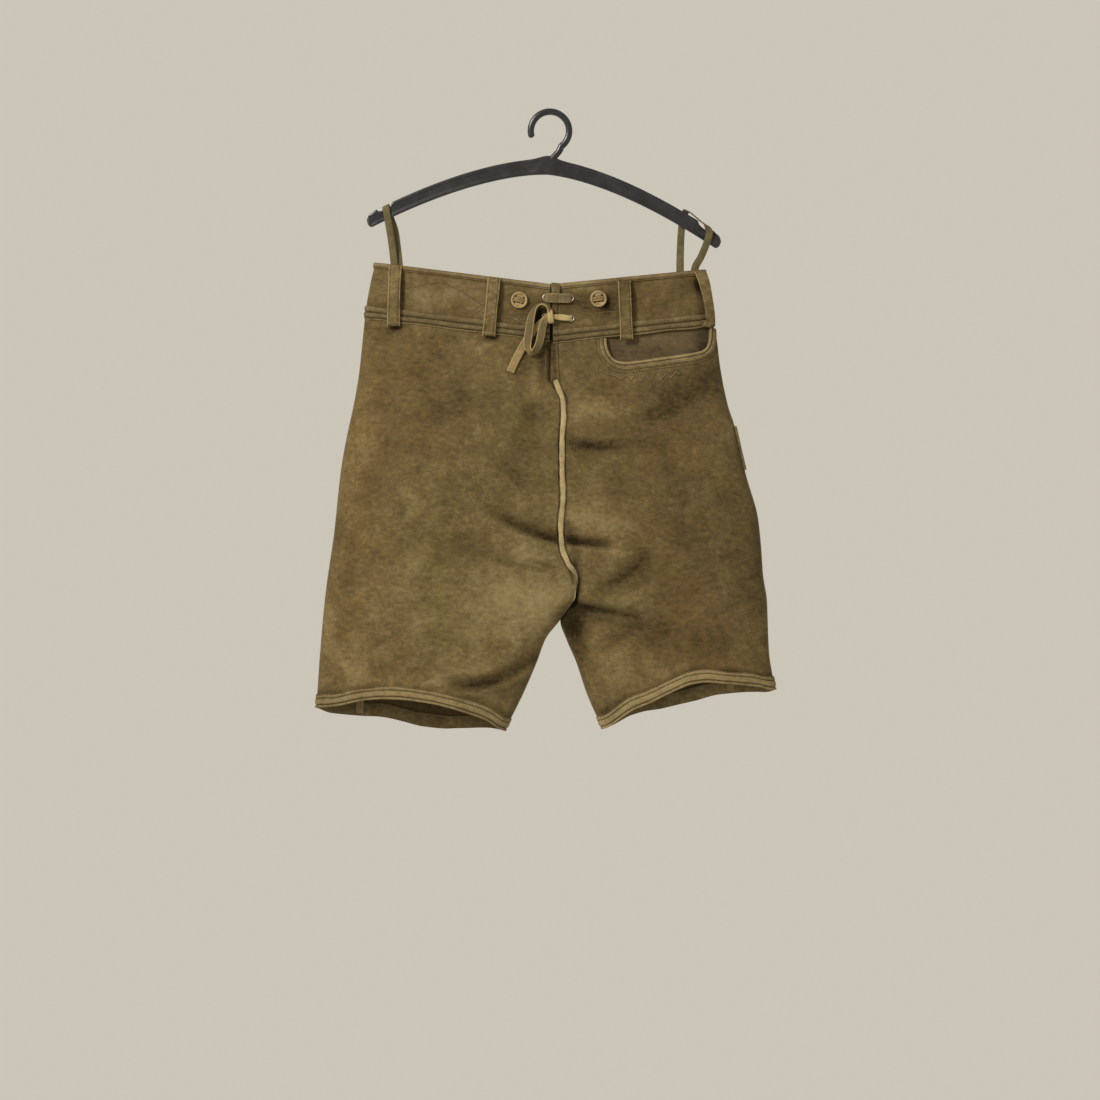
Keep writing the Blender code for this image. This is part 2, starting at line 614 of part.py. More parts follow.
def cut_pocket_scoop(panel):
    """Cut the hip pocket's mouth out of the right back panel."""
    path = scoop_line(SCOOP_OVERLAP - SCOOP_BINDING / 2)
    rise, half_depth = SCOOP_CUT
    top = EDGES["seam_right"][1] - rise
    outline = [(path[0][0], top)] + [tuple(p) for p in path] + [(path[-1][0], top)]
    curve = bpy.data.curves.new("scoop_cutter", "CURVE")
    curve.dimensions = "2D"
    curve.fill_mode = "BOTH"
    curve.extrude = half_depth * MM
    line = curve.splines.new("POLY")
    line.points.add(len(outline) - 1)
    for point, (x, drop) in zip(line.points, outline):
        point.co = (x * MM, -drop * MM, 0, 1)
    line.use_cyclic_u = True
    source = bpy.data.objects.new("scoop_outline", curve)
    bpy.data.collections[CUTTERS].objects.link(source)
    source.rotation_euler = (math.pi / 2, 0, 0)
    source.location = (0, -(half_depth + 1) * MM, 0)
    bpy.context.view_layer.update()
    graph = bpy.context.evaluated_depsgraph_get()
    mesh = bpy.data.meshes.new_from_object(source.evaluated_get(graph))
    weld(mesh)
    cutter = bpy.data.objects.new("scoop_cutter", mesh)
    cutter.matrix_world = source.matrix_world
    bpy.data.collections[CUTTERS].objects.link(cutter)
    bpy.data.objects.remove(source)
    cutter.hide_render = True
    cutter.display_type = "WIRE"
    cut = panel.modifiers.new("pocket mouth", "BOOLEAN")
    cut.operation = "DIFFERENCE"
    cut.object = cutter


def weld(mesh):
    """Join the loose caps of a mesh made from a curve."""
    work = bmesh.new()
    work.from_mesh(mesh)
    bmesh.ops.remove_doubles(work, verts=work.verts, dist=0.00001)
    bmesh.ops.recalc_face_normals(work, faces=work.faces)
    work.to_mesh(mesh)
    work.free()


def scoop_line(inset):
    """The scoop's outline (x, drop), moved out by an inset along its normals."""
    line = np.array(SCOOP)
    run = np.gradient(line, axis=0)
    run /= np.linalg.norm(run, axis=1, keepdims=True)
    return [tuple(p) for p in line + inset * np.stack([-run[:, 1], run[:, 0]], axis=1)]


def build_pocket():
    centres = []
    outs = []
    for x, drop in scoop_line(0.0):
        centre, normal = spot("right", "back", x, drop)
        centres.append(centre)
        outs.append(normal)
    centres = np.array(centres)
    outs = np.array(outs)
    sides = np.cross(directions(centres), outs)
    profile = flat_profile(SCOOP_BINDING, SCOOP_BINDING_WALL, 2 * GAP)
    sweep("pocket_binding", centres, outs, sides, profile, "suede_light")
    patch("pocket_facing", "back", FACING, -LEATHER - FACING_GAP, TRIM, "suede_band", (10, 5))


def patch(name, face, box, lift, wall, material, steps):
    """Sheet on the back or the front skin, its outer face a lift above it."""
    left, right, top, bottom = box
    seam_drop = EDGES["seam_right"][0]
    low = inner_x("right", seam_drop)
    wide = outer_x("right", seam_drop) - low
    grid = []
    normals = []
    for v in np.linspace(0, 1, steps[1] + 1):
        points = []
        outs = []
        for x in np.linspace(left, right, steps[0] + 1):
            start = top
            if top is None:
                start = edge_drop("seam", "right", face, (x - low) / wide) + 2 * GAP
            drop = start + (bottom - start) * v
            point, normal = spot(side_of(x, drop), face, x, drop)
            points.append(point)
            outs.append(normal)
        grid.append(points)
        normals.append(outs)
    return shell(name, np.array(grid), np.array(normals), wall, material, lift)


def thigh_grid(drops, shares):
    """Points and normals of the right half at rows of drops and (face, share s) columns."""
    grid = []
    normals = []
    for drop in drops:
        low = inner_x("right", drop)
        wide = outer_x("right", drop) - low
        spots = [spot("right", face, low + s * wide, drop) for face, s in shares]
        grid.append([point for point, _ in spots])
        normals.append([normal for _, normal in spots])
    return np.array(grid), np.array(normals)


def build_knife_pocket():
    """Pouch on the front of the right thigh, and its flap round the outer fold."""
    outer, inner, top, bottom = KNIFE_POUCH
    columns = [("front", s) for s in np.linspace(outer, inner, 6)]
    grid, normals = thigh_grid(np.linspace(top, bottom, 9), columns)
    shell("knife_pocket", grid, normals, LEATHER, "suede", POUCH_LIFT + LEATHER)
    grid, normals = thigh_grid(KNIFE_FLAP_DROPS, KNIFE_FLAP_SHARES)
    at_fold, over_pouch = KNIFE_FLAP_LIFT
    past_pouch = outer + POUCH_MARGIN
    lift = np.array([at_fold if s > past_pouch else over_pouch for _, s in KNIFE_FLAP_SHARES])
    shell("knife_pocket_flap", grid, normals, LEATHER, "suede_light", LEATHER + lift[None, :, None])


# ---------------------------------------------------------------- pieces of the waist
def channel(reach, wall):
    """U section (up, out) that clasps an edge: the leather's wall lies inside it."""
    g = BINDING_GAP
    inner = -wall - g
    return [
        (-reach, g), (-reach, g + TRIM), (g + TRIM, g + TRIM), (g + TRIM, inner - TRIM),
        (-reach, inner - TRIM), (-reach, inner), (g, inner), (g, g),
    ]


def edge_frames(edge, inside, normals):
    """Outward and endward directions along an edge, from the row beside it."""
    ends = edge - inside
    ends = ends - normals * np.sum(ends * normals, axis=1, keepdims=True)
    return ends / np.linalg.norm(ends, axis=1, keepdims=True)


def build_waistband(side):
    """Band from the centre back round to the centre front, with its bound top edge."""
    height = EDGES["seam_" + side][0] - EDGES["waist_" + side][0]
    band = rows_grid(side, "tube", "waist", "seam", (0.0, 0.5, 1 - GAP / height))
    normals = grid_normals(band)
    shell("waistband_" + side, band, normals, BAND_WALL, "suede_band")
    ups = edge_frames(band[0], band[1], normals[0])
    sweep("waist_binding_" + side, band[0], normals[0], ups, channel(BAND_HEM, BAND_WALL), "suede_band")


def build_welt(side):
    """Double-stitched welt below the waist seam, as far as the drop front."""
    body = rows_grid(side, "tube", "seam", "hem", body_rows(side))
    outs = grid_normals(body[:3])[0]
    step = body[1] - body[0]
    centres = body[0] + step * WELT_DROP / step[:, 2:]
    beside_flap = (centres[:, 1] < 0) | (np.abs(centres[:, 0]) > WELT_FRONT_END)
    centres = centres[beside_flap]
    outs = outs[beside_flap]
    sides = edge_frames(body[0][beside_flap], body[1][beside_flap], outs)
    sweep("waist_welt_" + side, centres, outs, sides, WELT_PROFILE, "suede_light")


def build_belt_loop(name, face, top_x, top_drop, low_x, low_drop):
    """Strap that stands off the waistband, caught at its top and under the welt."""
    centres = []
    outs = []
    for t, height in LOOP_SHAPE:
        x = top_x + (low_x - top_x) * t
        drop = top_drop + (low_drop - top_drop) * t
        point, normal = spot(side_of(x, drop), face, x, drop, height)
        centres.append(point)
        outs.append(normal)
    centres = np.array(centres)
    sides = np.cross(outs, (0.0, 0.0, 1.0))
    along = directions(centres)
    sides -= along * np.sum(sides * along, axis=1, keepdims=True)
    sides /= np.linalg.norm(sides, axis=1, keepdims=True)
    lifted = np.cross(sides, along)
    lifted *= np.sign(np.sum(lifted * outs, axis=1, keepdims=True))
    sweep(name, centres, lifted, sides, flat_profile(LOOP_WIDTH, LOOP_WALL, 0.0), "suede_light")


def turned(name, profile, steps, material):
    """Turned piece on the Y axis: a profile (radius, height) with a Screw modifier."""
    mesh = bpy.data.meshes.new(name)
    points = [(radius * MM, 0.0, height * MM) for radius, height in profile]
    mesh.from_pydata(points, [(i, i + 1) for i in range(len(points) - 1)], [])
    piece = finish(name, mesh, material)
    screw = piece.modifiers.new("turn", "SCREW")
    screw.steps = steps
    screw.render_steps = steps
    screw.merge_threshold = 0.00001
    screw.use_merge_vertices = True
    screw.use_normal_calculate = False
    return piece


def stand_on(piece, point, normal):
    """Stand a turned piece on a point, its axis along the normal."""
    axis = Vector((normal[0], normal[1], -normal[2]))
    piece.rotation_euler = axis.to_track_quat("Z", "Y").to_euler()
    piece.location = to_metres([point])[0]


def build_button(name, face, x, drop):
    piece = turned(name, BUTTON_PROFILE, 24, "horn")
    lift = BUTTON_LIFT if face == "back" else FLAP_BUTTON_LIFT
    stand_on(piece, *spot(side_of(x, drop), face, x, drop, lift))


def build_eyelet(name, x, drop):
    bpy.ops.mesh.primitive_torus_add(
        major_segments=16, minor_segments=6, major_radius=EYELET_RADIUS * MM, minor_radius=EYELET_WIRE * MM)
    ring = bpy.context.object
    mesh = ring.data.copy()
    bpy.data.objects.remove(ring)
    piece = finish(name, mesh, "brass")
    stand_on(piece, *spot(side_of(x, drop), "back", x, drop, GAP + EYELET_WIRE))


# ---------------------------------------------------------------- lacing
def lace_frames(points, per_span):
    """Centres of a stretch of thong over the waistband's skin, with out and side directions."""
    centres = smooth_path(points, per_span)
    for centre in centres:
        x, height, drop = centre[0], centre[2], centre[1]
        depth = -spot(side_of(x, drop), "back", x, drop)[0][1]
        centre[:] = (x, -depth - height, drop)
    outs = np.tile((0.0, -1.0, 0.0), (len(centres), 1))
    return centres, outs, np.cross(directions(centres), outs)


def build_thong(name, points, width, wall, material="thong"):
    centres, outs, sides = lace_frames(points, 3)
    sweep(name, centres, outs, sides, flat_profile(width, wall), material)


def build_lace_loop():
    """Half bow: its strap turns on to its edge where it bends."""
    centres, outs, sides = lace_frames(LACE_LOOP, 2)
    along = directions(centres)
    bend = np.linalg.norm(np.gradient(along, axis=0), axis=1)[:, None]
    lean = np.clip(bend / LACE_BEND, 0.0, 1.0) * LACE_LEAN
    sides = sides * np.cos(lean) + outs * np.sin(lean)
    sides -= along * np.sum(sides * along, axis=1, keepdims=True)
    sides /= np.linalg.norm(sides, axis=1, keepdims=True)
    profile = flat_profile(LACE_LOOP_WIDTH, LACE_WALL)
    sweep("lace_loop", centres, np.cross(sides, along), sides, profile, "thong")


def build_lace_knot():
    x, drop, height = LACE_KNOT
    bpy.ops.mesh.primitive_uv_sphere_add(segments=12, ring_count=8, radius=1.0)
    ball = bpy.context.object
    mesh = ball.data.copy()
    bpy.data.objects.remove(ball)
    for vertex in mesh.vertices:
        vertex.co = [radius * MM * value for radius, value in zip(LACE_KNOT_RADII, vertex.co)]
    knot = finish("lace_knot", mesh, "thong")
    depth = -spot(side_of(x, drop), "back", x, drop)[0][1]
    knot.location = to_metres([(x, -depth - height, drop)])[0]


def build_lace():
    build_thong("lace_upper", LACE_UPPER, LACE_UPPER_WIDTH, LACE_WALL, "ribbon")
    build_thong("lace_lower", LACE_LOWER, *LACE_LOWER_SECTION)
    build_thong("lace_tail", LACE_TAIL, LACE_WIDTH, LACE_WALL)
    build_lace_loop()
    build_lace_knot()


# ---------------------------------------------------------------- hems
def build_hem(side):
    """Binding that clasps a leg's hem all round."""
    grid = rows_grid(side, "tube", "seam", "hem", body_rows(side))
    normals = grid_normals(grid)[-1]
    ends = edge_frames(grid[-1], grid[-2], normals)
    profile = channel(HEM_REACH, LEATHER)
    sweep("hem_binding_" + side, grid[-1][:-1], normals[:-1], ends[:-1], profile, "suede_light", ring=True)


# ---------------------------------------------------------------- hanger
def tilt(x, drop):
    """Turn a point of the hanger about the hook's inner top."""
    c = math.cos(HANGER_TILT)
    s = math.sin(HANGER_TILT)
    return x * c - drop * s, x * s + drop * c


def arm_lower(x):
    return ARM_DROP + ARM_FALL * (abs(x) / ARM_REACH) ** ARM_CURVE


def arm_upper(x):
    notch = max(0.0, 1 - ((abs(x) - NOTCH_AT) / (NOTCH_WIDTH / 2)) ** 2)
    return arm_lower(x) - ARM_HEIGHT + NOTCH_DEPTH * math.sqrt(notch)


def hook_line():
    """Centre line of the hook, from the neck up, over and down to its end."""
    radius = HOOK_RADIUS + HOOK_BAR / 2
    start, end = HOOK_TURN
    first = (radius * math.cos(start), HOOK_RADIUS - radius * math.sin(start))
    neck = arm_upper(0.0) + NECK_SINK
    line = []
    for t in np.linspace(0, 1, 6, endpoint=False):
        line.append((first[0] * t * t * (3 - 2 * t), neck + (first[1] - neck) * t))
    for turn in np.linspace(start, end, 23):
        line.append((radius * math.cos(turn), HOOK_RADIUS - radius * math.sin(turn)))
    return np.array(line)


def hanger_outline():
    """The whole hanger as one closed outline (x, drop)."""
    line = hook_line()
    step = directions(line)
    across = np.stack([-step[:, 1], step[:, 0]], axis=1) * HOOK_BAR / 2
    tip = line[-1] + step[-1] * HOOK_BAR * 0.4
    rising = list(line - across)
    falling = list(line + across)[::-1]
    if rising[0][0] > falling[-1][0]:
        rising, falling = falling[::-1], rising[::-1]
    blunt = [tip + (rising[-1] - line[-1]) * 0.5, tip + (falling[0] - line[-1]) * 0.5]
    hook = rising + blunt + falling
    notch = NOTCH_AT - NOTCH_WIDTH / 2
    reach = list(np.linspace(NECK_WIDTH, notch - 6.0, 9)) + list(np.linspace(notch, notch + NOTCH_WIDTH, 9))
    right = [(x, arm_upper(x)) for x in reach]
    right += [(ARM_REACH + x, arm_lower(ARM_REACH) + drop) for x, drop in ARM_END]
    right += [(x, arm_lower(x)) for x in np.linspace(ARM_REACH - 3.0, 0.0, 14)]
    left = [(-x, drop) for x, drop in right[-2::-1]]
    return [tuple(p) for p in hook] + right + left


def build_hanger():
    outline = [tilt(x, drop) for x, drop in hanger_outline()]
    curve = bpy.data.curves.new("hanger", "CURVE")
    curve.dimensions = "2D"
    curve.fill_mode = "BOTH"
    curve.extrude = HANGER_THICK / 2 * MM
    line = curve.splines.new("POLY")
    line.points.add(len(outline) - 1)
    for point, (x, drop) in zip(line.points, outline):
        point.co = (x * MM, -drop * MM, 0, 1)
    line.use_cyclic_u = True
    curve.materials.append(new_material("hanger", "black_plastic"))
    hanger = bpy.data.objects.new("hanger", curve)
    hanger.rotation_euler = (math.pi / 2, 0, 0)
    bpy.data.collections[COLLECTION].objects.link(hanger)


def build_strap(name, stations):
    """Ribbon from inside the waistband over a hanger arm and back."""
    path = smooth_path(stations, 3)
    centres = path[:, :3]
    along = directions(centres)
    sides = path[:, 3:]
    sides = sides - along * np.sum(sides * along, axis=1, keepdims=True)
    sides /= np.linalg.norm(sides, axis=1, keepdims=True)
    sweep(name, centres, np.cross(sides, along), sides, flat_profile(STRAP_WIDTH, STRAP_WALL), "ribbon")


# ---------------------------------------------------------------- the whole object
def main():
    for old in list(bpy.data.objects):
        bpy.data.objects.remove(old)
    for name in (COLLECTION, CUTTERS):
        bpy.context.scene.collection.children.link(bpy.data.collections.new(name))
    grids = build_body()
    build_seat_piping(*grids["back", "left"])
    cut_pocket_scoop(bpy.data.objects["back_right"])
    build_pocket()
    build_knife_pocket()
    for side in ("left", "right"):
        build_waistband(side)
        build_welt(side)
        build_hem(side)
    for name, row in BELT_LOOPS.items():
        build_belt_loop(name, *row)
    patch("back_gusset", "back", GUSSET, -BAND_WALL - GUSSET_GAP, TRIM, "suede_band", (4, 6))
    patch("front_flap", "front", FLAP, FLAP_GAP + LEATHER, LEATHER, "suede", (8, 8))
    for name, row in BUTTONS.items():
        build_button(name, *row)
    for name, row in EYELETS.items():
        build_eyelet(name, *row)
    build_lace()
    build_hanger()
    build_strap("hanger_loop_left", STRAP_LEFT)
    build_strap("hanger_loop_right", STRAP_RIGHT)


main()
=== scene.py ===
"""Looks of short suede lederhosen that hang by two leather straps from a moulded coat hanger.

Frame: metres, +Z up, origin at the inner top of the hanger's hook.  The back of the trousers
faces -Y and the wearer's right is +X.  Tables are in millimetres: x runs across, "drop" is the
distance below the origin, and a height is measured out from the leather's skin.  Every surface
is a function of two parameters, worked out as whole arrays.
"""

import math

import bpy
import numpy as np
from bpy.props import FloatProperty, FloatVectorProperty, PointerProperty
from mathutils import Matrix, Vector


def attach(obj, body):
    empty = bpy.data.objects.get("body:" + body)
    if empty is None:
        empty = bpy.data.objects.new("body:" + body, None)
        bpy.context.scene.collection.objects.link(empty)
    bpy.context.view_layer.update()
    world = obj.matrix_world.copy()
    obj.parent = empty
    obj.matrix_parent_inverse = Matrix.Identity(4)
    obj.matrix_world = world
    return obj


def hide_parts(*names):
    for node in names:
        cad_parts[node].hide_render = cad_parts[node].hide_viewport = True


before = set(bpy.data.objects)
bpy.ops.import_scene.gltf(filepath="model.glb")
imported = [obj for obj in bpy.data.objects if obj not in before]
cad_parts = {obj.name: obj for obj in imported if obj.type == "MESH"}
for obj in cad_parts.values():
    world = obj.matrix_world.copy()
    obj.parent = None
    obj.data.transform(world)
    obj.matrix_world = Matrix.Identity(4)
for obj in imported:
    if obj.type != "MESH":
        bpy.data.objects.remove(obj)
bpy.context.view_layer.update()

bl_info = {
    "name": "Suede lederhosen on a hanger",
    "version": (1, 0, 0),
    "blender": (4, 5, 0),
    "location": "3D View > Sidebar > Lederhosen",
    "description": "Builds the leather, stitching, lacing and hanger of a pair of lederhosen",
    "category": "Add Mesh",
}

MM = 0.001

# ---------------------------------------------------------------- the cut (mm)
SIDES = ("left", "right")
BACKWARDS = (0.0, -1.0, 0.0)
GAP = 0.3                # space between pieces
STEP = 2.6               # spacing of a skin's columns
SUEDE_WALL = 1.8
BAND_WALL = 3.0
FACING_WALL = 1.3
ROUNDNESS = 2.8          # P, exponent of the section's bulge
INNER_ROUNDNESS = 4.2    # P from the crown to the inner line, whose edge is sharper
INNER_SHARE = 0.36       # share of a face's columns between the inner line and the crown
WRAP = 52.0              # the back panel's reach on to the front, at the side seam
PANEL_WIDTHS = {"left": 290, "right": 275}
ARC = 1.12               # length of the back's arc for its width, then of the wrap and the front
WRAP_ARC = 1.2
FRONT_ARC = 0.95
LOOSE = (262, 50)        # drop where the folds begin, and the height over which they grow
BAND_SWAY = 0.25         # share of the sway in the band
BAND_ROWS = 26
WELT_DROP = 6.0          # middle of the double welt below the waist seam
WELT_OPEN = 75.0         # reach from the middle that the welt leaves to the front flap

# Outer folds: drop, x
OUTER_FOLDS = {
    "left": (
        (178, -211.0), (204, -217.0), (229, -221.5), (266, -225.6), (311, -230.4), (340, -235.2),
        (397, -247.2), (426, -252.0), (503, -260.4), (570, -270.0), (604, -273.6), (647, -277.2),
        (710, -281.5),
    ),
    "right": (
        (187, 184.5), (210, 189.0), (252, 194.5), (266, 198.4), (301, 202.8), (349, 212.4),
        (371, 219.6), (402, 226.8), (432, 234.0), (484, 248.4), (517, 252.0), (551, 254.4),
        (584, 259.2), (618, 260.4), (644, 261.6), (688, 268.8),
    ),
}
# Inner lines: drop, left x, right x.  The slit ends at 330 and the legs part at 607.
INNER_LINES = (
    (178, -0.6, 1.8), (257, -1.4, 2.2), (289, -2.8, 3.2), (316, -3.6, 4.8), (330, 8.85, 9.15),
    (341, 15.0, 15.3), (361, 15.15, 15.45), (390, 13.05, 13.35), (425, 13.05, 13.35),
    (458, 14.25, 14.55), (493, 11.45, 11.75), (518, 13.05, 13.35), (539, 21.05, 21.35),
    (551, 27.85, 28.15), (564, 29.8, 30.2), (578, 28.7, 29.3), (593, 20.0, 20.8),
    (607, 10.2, 11.2), (628, -6.0, 18.0), (656, -16.8, 30.0), (695, -33.6, 43.2),
    (738, -55.2, 62.4),
)
# Sections: drop, back depth, front depth, crown (share s), close (0 open, 1 closed)
SECTIONS = (
    (178, 15, 14, 0.15, 0.0), (257, 18, 15, 0.15, 0.0), (316, 23, 16, 0.2, 0.0),
    (400, 31, 18, 0.25, 0.0), (470, 34, 20, 0.28, 0.0), (530, 33, 21, 0.3, 0.0),
    (551, 33, 22, 0.33, 0.3), (564, 32, 22, 0.36, 0.55), (578, 32, 22, 0.39, 0.78),
    (593, 31, 22, 0.42, 0.94), (607, 30, 22, 0.46, 1.0), (650, 27, 22, 0.5, 1.0),
    (740, 24, 23, 0.5, 1.0),
)
CROWN, CLOSE = 3, 4      # columns of SECTIONS
# Edges: inner drop, outer drop
EDGES = {
    "waist_left": (205.2, 178.8),
    "waist_right": (205.2, 187.2),
    "seam_left": (256.8, 229.2),
    "seam_right": (259.2, 238.8),
    "hem_left": (738.0, 709.2),
    "hem_right": (737.0, 687.6),
}
# Sweep of each hem: share s, height over the straight line between the edge's two ends
HEM_SWEEPS = {
    "left_back": (
        (0.0, 1.0), (0.04, 2.6), (0.08, 6.2), (0.13, 10.4), (0.24, 15.5), (0.345, 19.3),
        (0.45, 21.6), (0.557, 22.1), (0.663, 20.3), (0.77, 15.4), (0.82, 11.5), (0.875, 6.7),
        (0.93, 3.0), (1.0, 0.0),
    ),
    "left_front": (
        (0.0, 1.0), (0.07, 1.2), (0.13, 0.2), (0.24, -3.5), (0.345, -6.7), (0.45, -7.1),
        (0.557, -4.4), (0.663, -2.1), (0.77, -3.8), (0.93, -4.9), (1.0, 0.0),
    ),
    "right_back": (
        (0.0, 2.2), (0.04, 2.8), (0.1, 6.2), (0.157, 10.4), (0.215, 14.2), (0.33, 18.0),
        (0.45, 24.0), (0.564, 28.2), (0.622, 27.4), (0.74, 20.2), (0.855, 12.1), (0.913, 7.8),
        (0.97, 1.5), (1.0, 0.0),
    ),
    "right_front": (
        (0.0, 2.2), (0.06, 2.6), (0.1, 4.2), (0.2, 8.3), (0.273, 9.1), (0.39, 7.2), (0.56, 7.3),
        (0.68, 8.4), (0.8, 5.8), (0.913, 1.3), (0.97, -1.2), (1.0, 0.0),
    ),
}
SLIT_END = 322.0         # foot of the laced slit at the centre back
# Relief of the seams: depth and reach on the front and the back; the puckers' height, pitch,
# sway, pitch of the sway, distance and reach; the slit's folded strip: width, edge, height,
# and its groove: distance, reach, depth
FRONT_SEAM = (0.7, 2.4)
BACK_SEAM = (2.0, 3.4)
PUCKERS = (0.35, 2.1, 1.5, 23, 5, 4)
SLIT_STRIP = (5.8, 0.5, 0.8)
SLIT_GROOVE = (6.6, 0.9, 0.5)
# Folds by face, or by side and face: x and drop of both ends, sideways bow, depth inwards,
# half-width
FOLDS = {
    "left back": (
        (-64, 480, 8, 513, -2.5, 6.6, 8.0), (-104, 424, -56, 490, -3.0, 2.6, 9.0),
        (-68, 404, -18, 468, 2.0, 2.2, 9.0), (-52, 512, 16, 552, -4.0, -3.0, 12.0),
        (-72, 534, -4, 545, -3.0, 2.2, 5.5), (-22, 537, 10, 545, 0.0, 2.2, 3.4),
        (-30, 572, 22, 596, 3.0, -1.6, 18.0), (-124, 685, -18, 652, -10.0, 7.0, 9.0),
        (-110, 655, -30, 640, -4.0, -1.8, 13.0), (-100, 620, -10, 622, 3.0, 1.2, 6.0),
        (-62, 612, 6, 596, 3.0, 1.0, 4.0), (-60, 634, 0, 610, 4.0, 1.0, 4.2),
    ),
    "back": (
        (-220, 648, -186, 629, 3.0, 1.4, 4.0), (-128, 540, -90, 520, 6.0, 1.6, 12.0),
        (-222, 430, -214, 560, 5.0, 1.6, 9.0), (-104, 352, -90, 404, 3.0, 1.4, 8.0),
        (-150, 330, -120, 410, 4.0, 1.2, 9.0), (-16, 330, -40, 392, 5.0, 2.2, 12.0),
        (224, 622, 258, 660, 4.0, 3.2, 9.0), (206, 596, 246, 575, -3.0, 1.5, 9.0),
        (22, 399, 88, 397, -4.0, 2.4, 9.0), (110, 372, 190, 326, -5.0, 2.2, 15.0),
        (60, 350, 128, 340, 5.0, -1.6, 14.0),
    ),
    "right back": (
        (30, 536, 24, 602, 2.0, 6.0, 6.0), (24, 510, 78, 519, -1.5, 6.4, 6.6),
        (34, 488, 96, 500, 3.0, -2.2, 13.0), (60, 567, 114, 530, -4.0, 4.4, 11.0),
        (40, 545, 96, 512, 0.0, -1.6, 11.0), (48, 574, 122, 556, 4.0, -2.0, 12.0),
        (20, 584, 108, 600, -2.0, 7.0, 7.0), (70, 644, 122, 602, 3.0, 3.0, 14.0),
        (36, 634, 84, 622, 0.0, -1.8, 11.0),
    ),
    "front": (
        (-96, 452, -8, 560, -4.0, 4.8, 13.0), (-40, 520, 18, 574, -3.0, 3.8, 9.0),
        (-150, 664, -30, 632, -8.0, 3.6, 12.0), (-186, 480, -120, 500, 5.0, 1.8, 13.0),
        (32, 566, 108, 500, 5.0, 4.4, 12.0), (28, 596, 120, 590, -5.0, 4.6, 9.0),
        (60, 650, 140, 622, 4.0, 2.8, 11.0), (150, 470, 196, 560, 6.0, 1.8, 14.0),
    ),
}
# Painted shade along the creases, and painted highlights on some of their lips, by side and
# face: x and drop of both ends, upward bow, widths above and below, shades at both ends
CREASES = {
    "left back": (
        (-92, 438, -50, 488, -3.0, 16.0, 9.0, -0.06, -0.2),
        (-54, 488, 6, 511, -2.0, 12.0, 3.6, -0.16, -0.66),
        (-48, 500, 2, 521, -2.0, 5.0, 9.0, 0.14, 0.24),
        (-78, 402, -24, 452, 0.0, 9.0, 6.0, -0.1, -0.16),
        (-74, 534, -6, 546, -3.0, 6.0, 2.6, -0.06, -0.3),
        (-24, 536, 8, 543, 0.0, 4.0, 2.0, -0.3, -0.2),
        (-116, 683, -20, 653, -11.0, 12.0, 4.5, -0.4, -0.34),
        (-110, 694, -26, 668, -9.0, 4.0, 8.0, 0.2, 0.24),
        (-60, 606, 8, 600, 2.0, 3.0, 3.0, -0.1, -0.1),
    ),
    "right back": (
        (17, 511, 64, 516, -1.0, 7.0, 3.6, -0.85, -0.34),
        (24, 520, 84, 526, 0.0, 4.0, 9.0, 0.16, 0.16),
        (18, 492, 30, 566, 5.0, 7.0, 5.0, -0.4, -0.3),
        (56, 572, 112, 530, -4.0, 9.0, 9.0, -0.38, -0.28),
        (24, 584, 100, 600, -2.0, 3.2, 8.0, -0.8, -0.42),
        (66, 638, 112, 610, 2.0, 11.0, 11.0, -0.22, -0.14),
        (24, 393, 92, 398, -3.0, 7.0, 4.0, -0.3, -0.18),
    ),
}
CREASE_END = 9.0         # length over which a crease fades
# Broad waves of the leather: wave numbers over x and drop (1/mm), phase, share of the sway
WAVES = (
    (0.021, 0.012, 0.4, 0.5), (-0.009, 0.027, 2.1, 0.45), (0.034, -0.022, 1.2, 0.28),
    (0.052, 0.041, 3.0, 0.17), (-0.061, 0.048, 5.1, 0.14), (0.012, 0.083, 0.9, 0.12),
)
